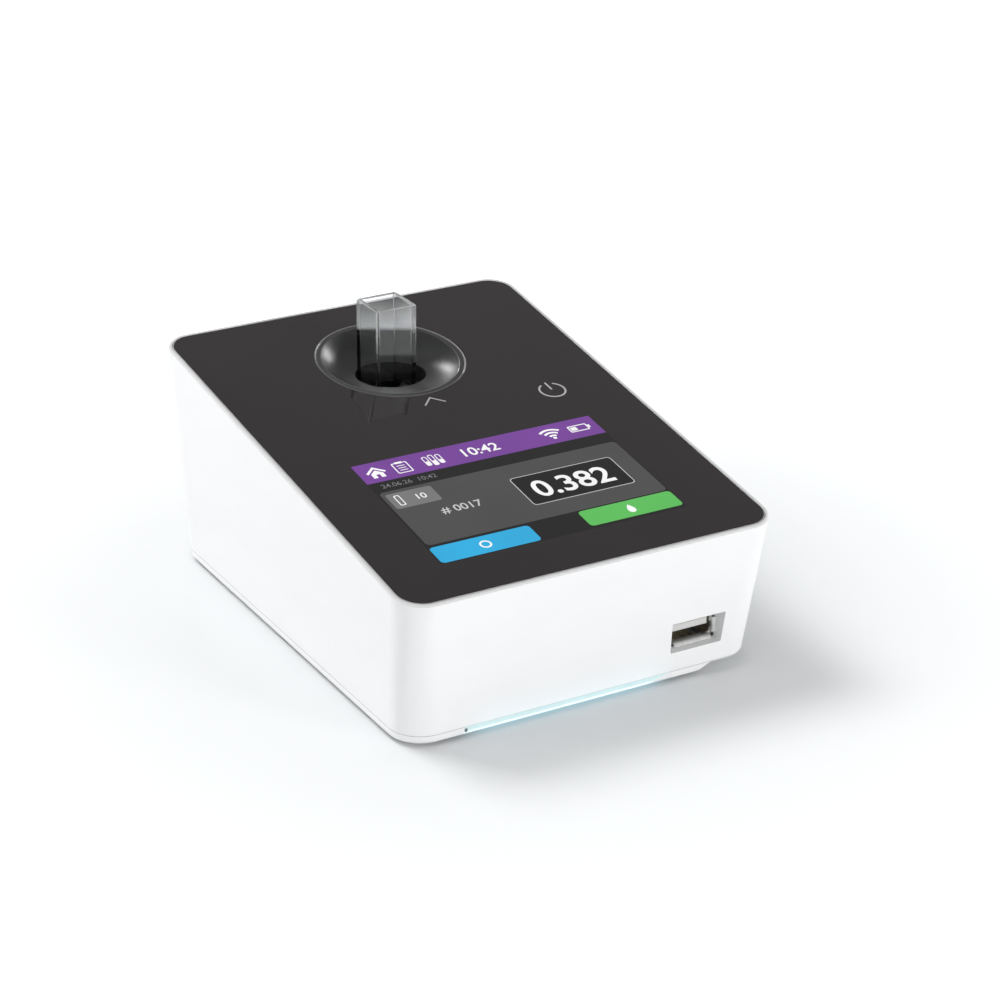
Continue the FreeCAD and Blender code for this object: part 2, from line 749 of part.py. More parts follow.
def strip_room(name, gap, rise):
    """The space of the light strip in the tray's band and behind the housing's wall."""
    width = f"strip_width + 2 * ({gap})"
    left = f"-strip_offset - ({width}) / 2"
    foot = box(name + "_foot", left, "-(base_front + front_lean)", f"foot_stand + strip_lip - ({gap}) / 2",
               width, f"front_lean + wall + strip_upright + ({gap})", f"seam_height - strip_lip + ({gap}) / 2")
    upright = box(name + "_upright", left, "-strip_inner_y", "floor_level - seam_height / 2",
                  width, f"strip_upright - rim_gap + ({gap})", f"seam_height / 2 + ({rise})")
    return fuse(name, foot, upright)


def base_tray():
    """The tray: a band flush with the housing, a locating rim, posts, foot pockets and screw holes."""
    band = common("tray_band", envelope("tray_envelope"), below_seam("tray_below_seam"))
    posts = [
        rod(f"tray_post_{index}", radius, f"{top} - foot_stand - seam_height / 2", x, y,
            "foot_stand + seam_height / 2")
        for index, (x, y, radius, top) in enumerate(tray_posts())
    ]
    fence = cut("battery_fence", battery_block("fence_outer", "battery_gap + fence_thick", "fence_height"),
                battery_block("fence_inner", "battery_gap", "battery_height"))
    solid = fuse("tray_solid", band, tray_rim(), fence, *posts)
    feet = [
        rod(f"foot_pocket_{index}", "foot_radius + foot_gap", "foot_pocket + cut_over", x, y,
            "foot_stand - cut_over")
        for index, (x, y) in enumerate(FOOT_SPOTS)
    ]
    counterbores = [
        rod(f"counterbore_{index}", "counterbore_radius", "counterbore_depth + cut_over", x, y,
            "foot_stand - cut_over")
        for index, (x, y) in enumerate(BASE_SCREW_SPOTS)
    ]
    clearances = [
        rod(f"tray_hole_{index}", "hole_radius", "seam_height + tray_boss_rise + cut_over", x, y, "foot_stand")
        for index, (x, y) in enumerate(BASE_SCREW_SPOTS)
    ]
    pilot_spots = BOARD_HOLES + POWER_BOARD_HOLES + STRAP_HOLES + HOLDER_HOLES
    tops = 6 * ["board_level"] + 2 * ["floor_level + strap_thick"] + 2 * ["holder_bottom"]
    depths = 6 * ["board_screw_length"] + 2 * ["seam_height"] + 2 * ["2 * board_screw_length"]
    pilots = [
        rod(f"tray_pilot_{index}", "pilot_radius", f"{depth} + cut_over", x, y, f"{top} - {depth}")
        for index, ((x, y), top, depth) in enumerate(zip(pilot_spots, tops, depths))
    ]
    strap_gaps = [
        box(f"strap_gap_{index}", "-battery_side - strap_width / 2 - battery_gap", y, "floor_level",
            "strap_width + 2 * battery_gap", "fence_thick + 2 * cut_over", "battery_height")
        for index, y in enumerate((
            "-(battery_front + battery_gap + fence_thick + cut_over)",
            "battery_length - battery_front + battery_gap - cut_over"))
    ]
    strip = strip_room("strip_notch", "strip_gap", "rim_rise + cut_over")
    openings = feet + counterbores + clearances + pilots + strap_gaps
    sub_part(cut("tray", solid, relief_cutter(), strip, *openings), "base_tray")


def feet():
    """Four rubber feet in the tray's pockets, each with a bevel round its sole."""
    bevel = number("foot_edge")
    for name, (x, y) in zip(FOOT_NAMES, FOOT_SPOTS):
        disc = rod(name + "_disc", "foot_radius", "foot_stand + foot_pocket", x, y)
        doc.recompute()
        sole = min(range(len(disc.Shape.Edges)), key=lambda index: disc.Shape.Edges[index].BoundBox.ZMax)
        edge = doc.addObject("Part::Chamfer", name + "_edge")
        edge.Base = disc
        edge.Edges = [(sole + 1, bevel, bevel)]
        sub_part(edge, name)


def base_screws():
    """The screws that hold the tray on the housing's bosses."""
    seat = "foot_stand + counterbore_depth"
    members = [
        screw(f"base_screw_{index}", "base_screw_length", x, y, seat)
        for index, (x, y) in enumerate(BASE_SCREW_SPOTS)
    ]
    sub_part(group("base_screw_set", *members), "base_screws")


def front_panel():
    """The glass sheet, with ground edges and the round hole for the bowl."""
    body = new_body("glass")
    outline = new_sketch(body, "glass_outline")
    side, end = "panel_width / 2", "panel_length / 2"
    rounded_rectangle(outline, side, side, end, end, "panel_corner")
    pad(body, outline, "panel_thick", reverse=True)
    hole = new_sketch(body, "glass_hole", at=("0", "bowl_v", "0"))
    circle(hole, "bowl_radius")
    drilled = pocket(body, hole, "panel_thick")
    doc.recompute()
    top_face = next(
        index for index, face in enumerate(drilled.Shape.Faces, start=1)
        if face.BoundBox.ZLength < 0.001 and abs(face.CenterOfMass.z) < 0.001
    )
    ground = body.newObject("PartDesign::Chamfer", "glass_edges")
    ground.Base = (drilled, [f"Face{top_face}"])
    bind(ground, Size="panel_edge")
    on_deck(body)
    sub_part(body, "front_panel")


def panel_gasket():
    """The die-cut adhesive sheet between the glass and the deck."""
    sheet_plate = deck_plate("gasket_sheet", "panel_width - 2 * gasket_inset",
                             "panel_length - 2 * gasket_inset", "panel_corner - gasket_inset", "gasket_thick",
                             "-panel_thick")
    thick = "gasket_thick + 2 * cut_over"
    top = "cut_over - panel_thick"
    openings = [
        deck_box("gasket_display", "display_width + 2 * display_gap", "display_height + 2 * display_gap",
                 thick, "-screen_offset", "screen_v", top),
        deck_rod("gasket_key", "key_radius + display_gap", thick, "key_side", "key_v", top),
        deck_rod("gasket_bowl", "bowl_radius + display_gap", thick, v="bowl_v", w=top),
    ]
    sub_part(cut("gasket", sheet_plate, *openings), "panel_gasket")


def sample_bowl():
    """A dish stretched from the round rim in the sloping glass to the level hole over the holder."""
    body = new_body("bowl")

    def sloping_circle(name, radius, w):
        sketch = new_sketch(body, name, at=("0", *deck_point("bowl_v", w)), tilt="panel_tilt")
        return circle(sketch, radius)

    def level_circle(name, radius, level):
        return circle(new_sketch(body, name, at=("0", "well_y", level)), radius)

    outside = "bowl_radius - bowl_gap"
    neck_radius = "bowl_hole_radius + bowl_wall"
    skirt = sloping_circle("bowl_skirt", outside, "-ledge_depth")
    pad(body, skirt, "ledge_depth")
    shoulder = sloping_circle("bowl_shoulder", outside, "-ledge_depth")
    throat = level_circle("bowl_throat", neck_radius, "bowl_hole_height - bowl_wall")
    loft(body, "bowl_outside", [shoulder, throat])
    neck = level_circle("bowl_neck", neck_radius, "holder_top + bowl_neck_gap")
    pad(body, neck, "bowl_hole_height - bowl_wall - holder_top - bowl_neck_gap")
    flange = sloping_circle("bowl_flange", "bowl_flange_radius", "-deck_under")
    pad(body, flange, "bowl_flange_thick", reverse=True)
    rim = sloping_circle("bowl_rim", "bowl_radius - bowl_lip", "0")
    waist = new_sketch(body, "bowl_waist", tilt="bowl_waist_share * panel_tilt",
                       at=("0", "well_y", "bowl_hole_height + bowl_waist_share * bowl_depth"))
    circle(waist, "bowl_waist")
    hole = level_circle("bowl_hole", "bowl_hole_radius", "bowl_hole_height")
    loft(body, "bowl_dish", [rim, waist, hole], inward=True, ruled=False)
    well = level_circle("bowl_well", "bowl_hole_radius", "bowl_hole_height")
    pocket(body, well, "bowl_hole_height - holder_top + cut_over")
    sub_part(body, "sample_bowl")


def cuvette():
    """The clear square cell, pushed by the springs into the left back corner of the well."""
    body = new_body("cell")
    middle = ("-cuvette_shift", "well_y + cuvette_shift")
    outline = new_sketch(body, "cell_outline", at=(*middle, "cuvette_bottom"))
    half = "cuvette_side / 2"
    rounded_rectangle(outline, half, half, half, half, "cuvette_edge")
    pad(body, outline, "cuvette_height")
    hollow = new_sketch(body, "cell_hollow", at=(*middle, "cuvette_top"))
    inner = "cuvette_side / 2 - cuvette_wall"
    rounded_rectangle(hollow, inner, inner, inner, inner, "cuvette_edge")
    pocket(body, hollow, "cuvette_height - cuvette_floor")
    sub_part(body, "cuvette")


def cell_holder():
    """The black block under the bowl: square well, round tube bore, light path and mounting ears."""
    half = "holder_side / 2"
    block = box("holder_block", f"-({half})", f"well_y - {half}", "holder_bottom",
                "holder_side", "holder_side", "holder_top - holder_bottom")
    ears = box("holder_ears", f"-({half} + ear_reach)", "well_y - ear_width / 2", "holder_bottom",
               "holder_side + 2 * ear_reach", "ear_width", "ear_thick")
    pillars = [
        rod(f"optic_pillar_{side}_{index}", "optic_pillar_radius", f"{reach} - {half} + wall",
            f"{sign}({half} - wall)", f"well_y {turn} optic_hole_side", "beam_level", along)
        for side, sign, along, reach in (
            ("left", "-", "-X", "source_board_face"), ("right", "", "X", "detector_board_face"))
        for index, turn in enumerate("-+")
    ]
    well = box("holder_well", "-well_side / 2", "well_y - well_side / 2", "cuvette_bottom",
               "well_side", "well_side", "holder_top - cuvette_bottom + cut_over")
    tube = rod("tube_bore", "tube_bore_radius", "holder_top - cuvette_bottom + cut_over", "0", "well_y",
               "cuvette_bottom")
    beam = rod("beam_hole", "beam_radius", "holder_side", f"-({half})", "well_y", "beam_level", "X")
    bores = [
        rod(f"optic_bore_{index}", "optic_bore_radius", "optic_depth + cut_over", f"{sign}lens_face", "well_y",
            "beam_level", along)
        for index, (sign, along) in enumerate((("-", "-X"), ("", "X")))
    ]
    ear_holes = [
        rod(f"ear_hole_{index}", "hole_radius", "ear_thick + 2 * cut_over", x, y, "holder_bottom - cut_over")
        for index, (x, y) in enumerate(HOLDER_HOLES)
    ]
    screw_holes = [
        rod(f"optic_pilot_{side}_{index}", "pilot_radius", "board_screw_length", f"{sign}{face}",
            f"well_y {turn} optic_hole_side", "beam_level", along)
        for side, sign, along, face in (
            ("left", "-", "X", "source_board_face"), ("right", "", "-X", "detector_board_face"))
        for index, turn in enumerate("-+")
    ]
    solid = fuse("holder_solid", block, ears, *pillars)
    sub_part(cut("holder", solid, well, tube, beam, *bores, *ear_holes, *screw_holes), "cell_holder")


def leaf_spring(name, x, y, along, span):
    """A thin bowed strip: its crown lies against the cuvette and its ends against the well's wall."""
    outer = rod(name + "_outer", "spring_radius", "spring_width", x, y, "spring_level", along)
    inner = rod(name + "_inner", "spring_radius - spring_thick", "spring_width", x, y, "spring_level", along)
    room = box(name + "_room", *span)
    return common(name + "_leaf", cut(name + "_ring", outer, inner), room)


def holder_springs():
    """The two springs: one presses the cuvette to the left, the other to the back."""
    crown_x = "cuvette_side / 2 - cuvette_shift + well_gap"
    low = "spring_level - spring_height / 2"
    side = leaf_spring("side_spring", f"{crown_x} + spring_radius", "well_y - spring_width / 2", "Y",
                       (crown_x, "well_y - spring_width / 2", low, "spring_sag", "spring_width",
                        "spring_height"))
    sub_part(side, "side_spring")
    crown_y = "well_y + cuvette_shift - cuvette_side / 2 - well_gap"
    front = leaf_spring("front_spring", "-spring_width / 2", f"{crown_y} - spring_radius", "X",
                        ("-spring_width / 2", f"{crown_y} - spring_sag", low, "spring_width", "spring_sag",
                         "spring_height"))
    sub_part(front, "front_spring")


def optic_board(name, face, side):
    """A small upright board beside the holder; face is its distance from the middle."""
    x = f"-({face}) - board_thick" if side == "left" else face
    plate = box(name + "_plate", x, "well_y - optic_board_side / 2", "beam_level - optic_board_high / 2",
                "board_thick", "optic_board_side", "optic_board_high")
    holes = [
        rod(f"{name}_hole_{index}", "hole_radius", "board_thick + 2 * cut_over", f"{x} - cut_over",
            f"well_y {turn} optic_hole_side", "beam_level", "X")
        for index, turn in enumerate("-+")
    ]
    return cut(name + "_cut", plate, *holes)


def optics():
    """Lamp and lens on the left of the well, photodiode on the right, each on its own small board."""
    lamp_dome = doc.addObject("Part::Sphere", "lamp_dome")
    bind(lamp_dome, Radius="lamp_radius")
    place(lamp_dome, "-(lamp_face + lamp_radius)", "well_y", "beam_level")
    lamp_body = rod("lamp_body", "lamp_radius", "lamp_length - lamp_radius", "-(lamp_face + lamp_radius)",
                    "well_y", "beam_level", "-X")
    lamp_flange = rod("lamp_flange", "lamp_radius + lamp_flange", "board_thick - lamp_flange",
                      "-source_board_face", "well_y", "beam_level", "X")
    sub_part(fuse("lamp", lamp_dome, lamp_body, lamp_flange), "source_led")
    lens_disc = rod("lens_disc", "lens_radius", "lens_thick + lens_crown", "-lens_face", "well_y", "beam_level",
                    "-X")
    lens_dome = doc.addObject("Part::Sphere", "lens_dome")
    bind(lens_dome, Radius="lens_curve")
    place(lens_dome, "lens_curve - lens_face - lens_thick - lens_crown", "well_y", "beam_level")
    sub_part(common("lens", lens_disc, lens_dome), "source_lens")
    sub_part(optic_board("lamp_board", "source_board_face", "left"), "source_board")
    sub_part(rod("photodiode", "lens_radius", "detector_length", "lens_face + well_gap", "well_y",
                 "beam_level", "X"), "detector")
    sub_part(optic_board("photodiode_board", "detector_board_face", "right"), "detector_board")
    members = []
    for side, sign, inward, outward, face in (
            ("left", "-", "X", "-X", "source_board_face"), ("right", "", "-X", "X", "detector_board_face")):
        for index, turn in enumerate("-+"):
            name, y = f"optic_screw_{side}_{index}", f"well_y {turn} optic_hole_side"
            seat = f"{sign}({face} + board_thick)"
            shank = rod(name + "_shank", "shank_radius", "board_screw_length", seat, y, "beam_level", inward)
            head = rod(name + "_head", "head_radius", "head_height", seat, y, "beam_level", outward)
            members.append(fuse(name, shank, head))
    sub_part(group("optic_screw_set", *members), "optics_screws")
    ear_screws = [
        screw(f"ear_screw_{index}", "ear_thick + board_screw_length", x, y, "holder_bottom + ear_thick",
              up=False)
        for index, (x, y) in enumerate(HOLDER_HOLES)
    ]
    sub_part(group("ear_screw_set", *ear_screws), "holder_screws")


def display():
    """Touch film, display module and the plate that carries it under the deck."""
    sub_part(deck_box("film", "display_width", "display_height", "film_thick", "-screen_offset", "screen_v",
                      "-panel_thick"), "touch_sensor")
    sub_part(deck_box("module", "display_width", "display_height", "display_thick", "-screen_offset",
                      "screen_v", "-(panel_thick + film_thick)"), "display_module")
    plate = deck_box("frame_plate", "display_width", "display_height + 2 * frame_reach", "frame_thick",
                     "-screen_offset", "screen_v", "-display_under")
    window = deck_box("frame_window", "ribbon_width + 4 * display_gap", "ribbon_width",
                      "frame_thick + 2 * cut_over", "ribbon_side", "screen_v", "cut_over - display_under")
    holes = [
        deck_rod(f"frame_hole_{index}", "hole_radius", "frame_thick + 2 * cut_over", u, v,
                 "cut_over - display_under")
        for index, (u, v) in enumerate(DISPLAY_HOLES)
    ]
    sub_part(cut("frame", plate, window, *holes), "display_frame")
    members = []
    for index, (u, v) in enumerate(DISPLAY_HOLES):
        seat = "-(display_under + frame_thick)"
        length = "frame_thick + deck_thick - gasket_thick"
        shank = deck_rod(f"display_shank_{index}", "shank_radius", length, u, v, f"{seat} + {length}")
        head = deck_rod(f"display_head_{index}", "head_radius", "head_height", u, v, seat)
        members.append(fuse(f"display_screw_{index}", shank, head))
    sub_part(group("display_screw_set", *members), "display_screws")
    sub_part(deck_rod("key_pad", "key_radius", "key_thick", "key_side", "key_v", "-panel_thick"),
             "power_key_sensor")


def board_plate(name, left, front, width, length, holes):
    """A circuit board with its screw holes."""
    plate = box(name + "_plate", left, front, "board_level", width, length, "board_thick")
    drilled = [
        rod(f"{name}_hole_{index}", "hole_radius", "board_thick + 2 * cut_over", x, y, "board_level - cut_over")
        for index, (x, y) in enumerate(holes)
    ]
    return plate, drilled


def main_board():
    """The main board with its chips, connector and buzzer, and the screws that hold both boards."""
    plate, holes = board_plate("main", "-board_left", "-board_front", "board_left + board_right",
                               "board_front + board_back", BOARD_HOLES)
    notch = rod("board_notch", "tray_boss_radius + notch_gap", "board_thick + 2 * cut_over", "boss_side",
                "-boss_front", "board_level - cut_over")
    sub_part(cut("main_cut", plate, notch, *holes), "main_board")
    sub_part(box("chip", "chip_left", "-chip_front", "board_top", "chip_side", "chip_side", "chip_thick"),
             "processor")
    sub_part(box("radio", "radio_left", "-radio_front", "board_top", "radio_width", "radio_length",
                 "radio_thick"), "radio_module")
    sub_part(box("socket", "ribbon_side - connector_width / 2", "-connector_front", "board_top",
                 "connector_width", "connector_depth", "connector_height"), "ribbon_connector")
    sub_part(rod("beeper", "buzzer_radius", "buzzer_height", "buzzer_side", "-buzzer_front", "board_top"),
             "buzzer")
    members = [
        screw(f"board_screw_{index}", "board_thick + board_screw_length - screw_end_gap", x, y, "board_top",
              up=False)
        for index, (x, y) in enumerate(BOARD_HOLES + POWER_BOARD_HOLES)
    ]
    sub_part(group("board_screw_set", *members), "board_screws")


def usb_socket():
    """The folded shell with four flared lips, the tongue with its back block, and four contacts."""
    left, front, low = "usb_side - usb_width / 2", "usb_flare_length - usb_face_y", "usb_level - usb_height / 2"
    body_length = "usb_length - usb_flare_length"
    outer = box("usb_outer", left, front, low, "usb_width", body_length, "usb_height")
    inner = box("usb_inner", f"{left} + usb_metal", f"{front} - cut_over", f"{low} + usb_metal",
                "usb_width - 2 * usb_metal", f"{body_length} + 2 * cut_over", "usb_height - 2 * usb_metal")
    lips = new_body("usb_lips")
    rims = {}
    for skin, inset in (("outer", "0"), ("inner", "usb_metal")):
        for end, y, spread in (("back", front, "0"), ("front", "-usb_face_y", "usb_flare")):
            sketch = new_sketch(lips, f"usb_{skin}_{end}", "XZ_Plane", ("usb_side", "usb_level", f"-({y})"))
            half = [f"usb_width / 2 + {spread} - {inset}"] * 2 + [f"usb_height / 2 + {spread} - {inset}"] * 2
            rounded_rectangle(sketch, *half, "usb_metal / 2")
            rims[skin, end] = sketch
    loft(lips, "usb_lip_outer", [rims["outer", "back"], rims["outer", "front"]])
    loft(lips, "usb_lip_inner", [rims["inner", "back"], rims["inner", "front"]], inward=True)
    slits = [
        box(f"usb_slit_{index}", f"usb_side {x} (usb_width / 2) - usb_slit / 2 {x} usb_flare / 2",
            "-usb_face_y - cut_over", f"usb_level {z} (usb_height / 2) - usb_slit / 2 {z} usb_flare / 2",
            "usb_slit", "usb_flare_length + cut_over", "usb_slit")
        for index, (x, z) in enumerate((x, z) for x in "-+" for z in "-+")
    ]
    flared = cut("usb_flared", lips, *slits)
    tube = cut("usb_tube", outer, inner)
    sub_part(fuse("usb_case", tube, flared), "usb_shell")
    tongue_top = f"{low} + usb_height - usb_metal - tongue_drop"
    tongue = box("tongue_blade", "usb_side - tongue_width / 2", "tongue_setback - usb_face_y",
                 f"{tongue_top} - tongue_thick", "tongue_width", "usb_length - tongue_setback", "tongue_thick")
    block = box("tongue_block", f"{left} + usb_metal + usb_seat / 2", "usb_length * 3 / 4 - usb_face_y",
                f"{low} + usb_metal + usb_seat / 2", "usb_width - 2 * usb_metal - usb_seat", "usb_length / 4",
                "usb_height - 2 * usb_metal - usb_seat")
    sub_part(fuse("tongue", tongue, block), "usb_tongue")
    members = [
        box(f"contact_{index}", f"usb_side + {index - 1.5} * contact_pitch - contact_width / 2",
            "2 * tongue_setback - usb_face_y", f"{tongue_top} - tongue_thick - contact_thick",
            "contact_width", "contact_length", "contact_thick")
        for index in range(4)
    ]
    sub_part(group("contact_set", *members), "usb_contacts")


def light_strip():
    """The light guide in the front of the base, and the board with its lamps behind it."""
    guide = common("guide", strip_room("guide_room", "0", "strip_rise"), envelope("guide_envelope"))
    sub_part(guide, "light_strip")
    sub_part(box("lamp_strip", "lamp_board_inset - strip_offset - strip_width / 2",
                 "strip_upright - rim_gap - strip_inner_y", "floor_level", "strip_width - 2 * lamp_board_inset",
                 "lamp_board_thick", "strip_rise"), "strip_led_board")


def battery_block(name, extra, height):
    """A block with round upright corners round the battery's place."""
    body = new_body(name)
    outline = new_sketch(body, name + "_outline", at=("-battery_side", "battery_y", "floor_level"))
    side, end = f"battery_width / 2 + {extra}", f"battery_length / 2 + {extra}"
    rounded_rectangle(outline, side, side, end, end, "battery_corner")
    pad(body, outline, height)
    return body


def folded_strip(name, points, width, thick, bend, x):
    """A flat strip folded along points in the YZ plane, with round folds, centred on x."""
    path = [Vector(0, number(y), number(z)) for y, z in points]
    t, r = number(thick), number(bend)
    faces = []
    for offset, inner_turn in ((t / 2, 1), (-t / 2, -1)):
        faces.append(offset_path(path, offset, r, inner_turn * t / 2))
    outline = faces[0] + [Part.LineSegment(faces[0][-1].EndPoint, faces[1][-1].EndPoint)]
    outline += faces[1] + [Part.LineSegment(faces[0][0].StartPoint, faces[1][0].StartPoint)]
    wire = Part.Wire(Part.__sortEdges__([curve.toShape() for curve in outline]))
    solid = Part.Face(wire).extrude(Vector(number(width), 0, 0))
    feature = doc.addObject("Part::Feature", name)
    feature.Shape = solid
    place(feature, f"({x}) - ({width}) / 2")
    return feature


def offset_path(path, offset, bend, change):
    """One side of a folded strip: straight runs and tangent arcs, beside a path in the YZ plane."""
    normals = []
    for start, end in zip(path, path[1:]):
        run = (end - start).normalize()
        normals.append(Vector(0, -run.z, run.y))
    corners = [path[0] + normals[0] * offset]
    for point, before, after in zip(path[1:-1], normals, normals[1:]):
        mitre = (before + after).normalize()
        corners.append(point + mitre * (offset / mitre.dot(before)))
    corners.append(path[-1] + normals[-1] * offset)
    curves, start = [], corners[0]
    for index in range(1, len(corners) - 1):
        before = (corners[index - 1] - corners[index]).normalize()
        after = (corners[index + 1] - corners[index]).normalize()
        turn_left = normals[index - 1].cross(normals[index]).x > 0
        radius = bend - change if turn_left else bend + change
        angle = before.getAngle(after)
        tangent = radius / math.tan(angle / 2)
        first, last = corners[index] + before * tangent, corners[index] + after * tangent
        centre = corners[index] + (before + after).normalize() * (radius / math.sin(angle / 2))
        middle = centre + (corners[index] - centre).normalize() * radius
        curves += [Part.LineSegment(start, first), Part.Arc(first, middle, last)]
        start = last
    curves.append(Part.LineSegment(start, corners[-1]))
    return curves


def battery():
    """The wrapped battery pack and the strap that holds it down."""
    sub_part(battery_block("pack", "0", "battery_height"), "battery_pack")
    t = "strap_thick / 2"
    front, back = f"-(battery_front + battery_gap + {t})", f"battery_length - battery_front + battery_gap + {t}"
    foot_z, top_z = f"floor_level + strap_thick + {t}", f"floor_level + battery_height + {t}"
    points = [
        (f"{front} - strap_foot", foot_z), (front, foot_z), (front, top_z),
        (back, top_z), (back, foot_z), (f"{back} + strap_foot", foot_z),
    ]
    strap = folded_strip("strap", points, "strap_width", "strap_thick", "strap_bend", "-battery_side")
    holes = [
        rod(f"strap_hole_{index}", "hole_radius", "2 * strap_thick", x, y, "floor_level + strap_thick / 2")
        for index, (x, y) in enumerate(STRAP_HOLES)
    ]
    sub_part(cut("strap_cut", strap, *holes), "battery_bracket")
    members = [
        screw(f"strap_screw_{index}", "seam_height + strap_thick - screw_end_gap", x, y,
              "floor_level + 2 * strap_thick", up=False)
        for index, (x, y) in enumerate(STRAP_HOLES)
    ]
    sub_part(group("strap_screw_set", *members), "bracket_screws")


def power_inlet():
    """The small board in the back with the round low-voltage inlet and its pin."""
    plate, holes = board_plate("power", "inlet_side - power_board_width / 2",
                               "inlet_face_y - power_board_length", "power_board_width",
                               "power_board_length - power_board_setback", POWER_BOARD_HOLES)
    sub_part(cut("power_cut", plate, *holes), "power_board")
    case = box("jack_case", "inlet_side - inlet_width / 2", "inlet_face_y - inlet_length", "board_top",
               "inlet_width", "inlet_length", "inlet_height")
    bore = rod("jack_bore", "inlet_bore", "inlet_bore_depth + cut_over", "inlet_side",
               "inlet_face_y - inlet_bore_depth", "inlet_level", "Y")
    sub_part(cut("jack", case, bore), "inlet_jack")
    sub_part(rod("jack_pin", "inlet_pin_radius", "inlet_bore_depth - inlet_pin_setback", "inlet_side",
                 "inlet_face_y - inlet_bore_depth", "inlet_level", "Y"), "inlet_pin")


def display_ribbon():
    """The flat cable from the display's window down to its connector on the main board."""
    start_y = "screen_v * cos(panel_tilt) + display_under * sin(panel_tilt)"
    start_z = "deck_height + screen_v * sin(panel_tilt) - display_under * cos(panel_tilt)"
    end_y = "connector_depth / 2 - connector_front"
    end_z = "board_top + connector_height"
    points = [
        (f"{start_y} - frame_reach * cos(panel_tilt)",
         f"{start_z} - ribbon_thick - frame_reach * sin(panel_tilt)"),
        (end_y, f"{start_z} - ribbon_thick + (({end_y}) - ({start_y})) * tan(panel_tilt)"),
        (end_y, end_z),
    ]
    ribbon = folded_strip("flat_cable", points, "ribbon_width", "ribbon_thick", "ribbon_bend",
                          "ribbon_side")
    sub_part(ribbon, "display_ribbon")


for build in (upper_housing, base_tray, feet, base_screws, front_panel, panel_gasket, sample_bowl, cuvette,
              cell_holder, holder_springs, optics, display, main_board, usb_socket, light_strip, battery,
              power_inlet, display_ribbon):
    build()
doc.recompute()

for item in doc.Objects:
    if "Invalid" in item.State or "Error" in item.State:
        raise RuntimeError(f"{item.Label} failed: {item.State}")
for item in SUB_PARTS:
    if item.Shape.isNull() or not item.Shape.isValid():
        raise RuntimeError(f"{item.Label} has no valid shape")

os.makedirs("parts", exist_ok=True)
for item in SUB_PARTS:
    item.Shape.exportStep(f"parts/{item.Label}.step")
    bounds = item.Shape.BoundBox
    print(f"{item.Label:18s} solids {len(item.Shape.Solids)} volume {item.Shape.Volume:10.1f}"
          f" z {bounds.ZMin:6.2f} to {bounds.ZMax:6.2f}")
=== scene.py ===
"""Studio scene of a cell density meter: a small white wedge with a dark glass deck, a lit screen, a touch
power key, a round sample bowl and a clear cuvette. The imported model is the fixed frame. Each sub-assembly is
a class that holds its sizes in millimetres and dresses or adds its own pieces in metres."""

import logging
import math
from dataclasses import dataclass, field
from enum import Enum
from typing import Iterable, Optional, Sequence, Union

import bmesh
import bpy
from mathutils import Matrix, Vector


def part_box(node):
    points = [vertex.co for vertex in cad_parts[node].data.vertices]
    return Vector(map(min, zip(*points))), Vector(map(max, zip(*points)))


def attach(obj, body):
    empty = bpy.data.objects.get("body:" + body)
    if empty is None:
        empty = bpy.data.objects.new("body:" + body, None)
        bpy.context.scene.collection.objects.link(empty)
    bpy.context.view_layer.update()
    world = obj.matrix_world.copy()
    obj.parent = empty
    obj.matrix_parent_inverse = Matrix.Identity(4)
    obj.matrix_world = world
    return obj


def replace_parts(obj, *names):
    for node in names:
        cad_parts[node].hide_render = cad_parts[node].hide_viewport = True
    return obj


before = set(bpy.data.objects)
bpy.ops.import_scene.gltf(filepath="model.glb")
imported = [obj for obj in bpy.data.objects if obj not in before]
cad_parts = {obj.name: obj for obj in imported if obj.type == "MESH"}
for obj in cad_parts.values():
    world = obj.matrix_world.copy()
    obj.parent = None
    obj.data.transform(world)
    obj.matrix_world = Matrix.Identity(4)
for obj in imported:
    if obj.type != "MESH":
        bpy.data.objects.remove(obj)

LOG = logging.getLogger("density_meter")
MM = 0.001
ROOT = "root"
PLASTIC_IOR, GLASS_IOR = 1.49, 1.5
WHITE = (1.0, 1.0, 1.0)
MIDDLE = (0.3, 0.7)      # Range of a noise that holds nearly all of it.
SPOTS = (0.35, 0.7)      # The same, with more of it at the low end.
HIGHS = (0.35, 0.75)     # The same, with most of it at the low end.

Point2 = tuple[float, float]
Triple = tuple[float, float, float]
RGB = Triple
Outline = Sequence[Point2]
Socket = bpy.types.NodeSocket
Value = Union[float, int, Sequence[float], Socket]


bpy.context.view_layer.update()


def rgb(red: int, green: int, blue: int) -> RGB:
    """Turns a colour on the 0 to 255 screen scale into linear light.

    Args:
        red: Red level.
        green: Green level.
        blue: Blue level.

    Returns:
        The three linear levels.
    """
    shares = (level / 255 for level in (red, green, blue))
    return tuple(share / 12.92 if share <= 0.04045 else ((share + 0.055) / 1.055) ** 2.4 for share in shares)


def dimmed(colour: RGB, share: float) -> RGB:
    """A colour with each level at a share of its own, and at 1 at most."""
    return tuple(min(1.0, level * share) for level in colour)


def at(*millimetres: float) -> Vector:
    """A place or a size given in millimetres, in metres."""
    return Vector(millimetres) * MM


def in_box(node: str, shares: Triple, shift: Triple = (0.0, 0.0, 0.0)) -> Vector:
    """A point of a node's box in metres.

    Args:
        node: Name of the node.
        shares: How far along each side of the box it lies.
        shift: How far it lies from there, in millimetres.

    Returns:
        The point.
    """
    low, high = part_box(node)
    return Vector([low[i] + (high[i] - low[i]) * shares[i] for i in range(3)]) + at(*shift)


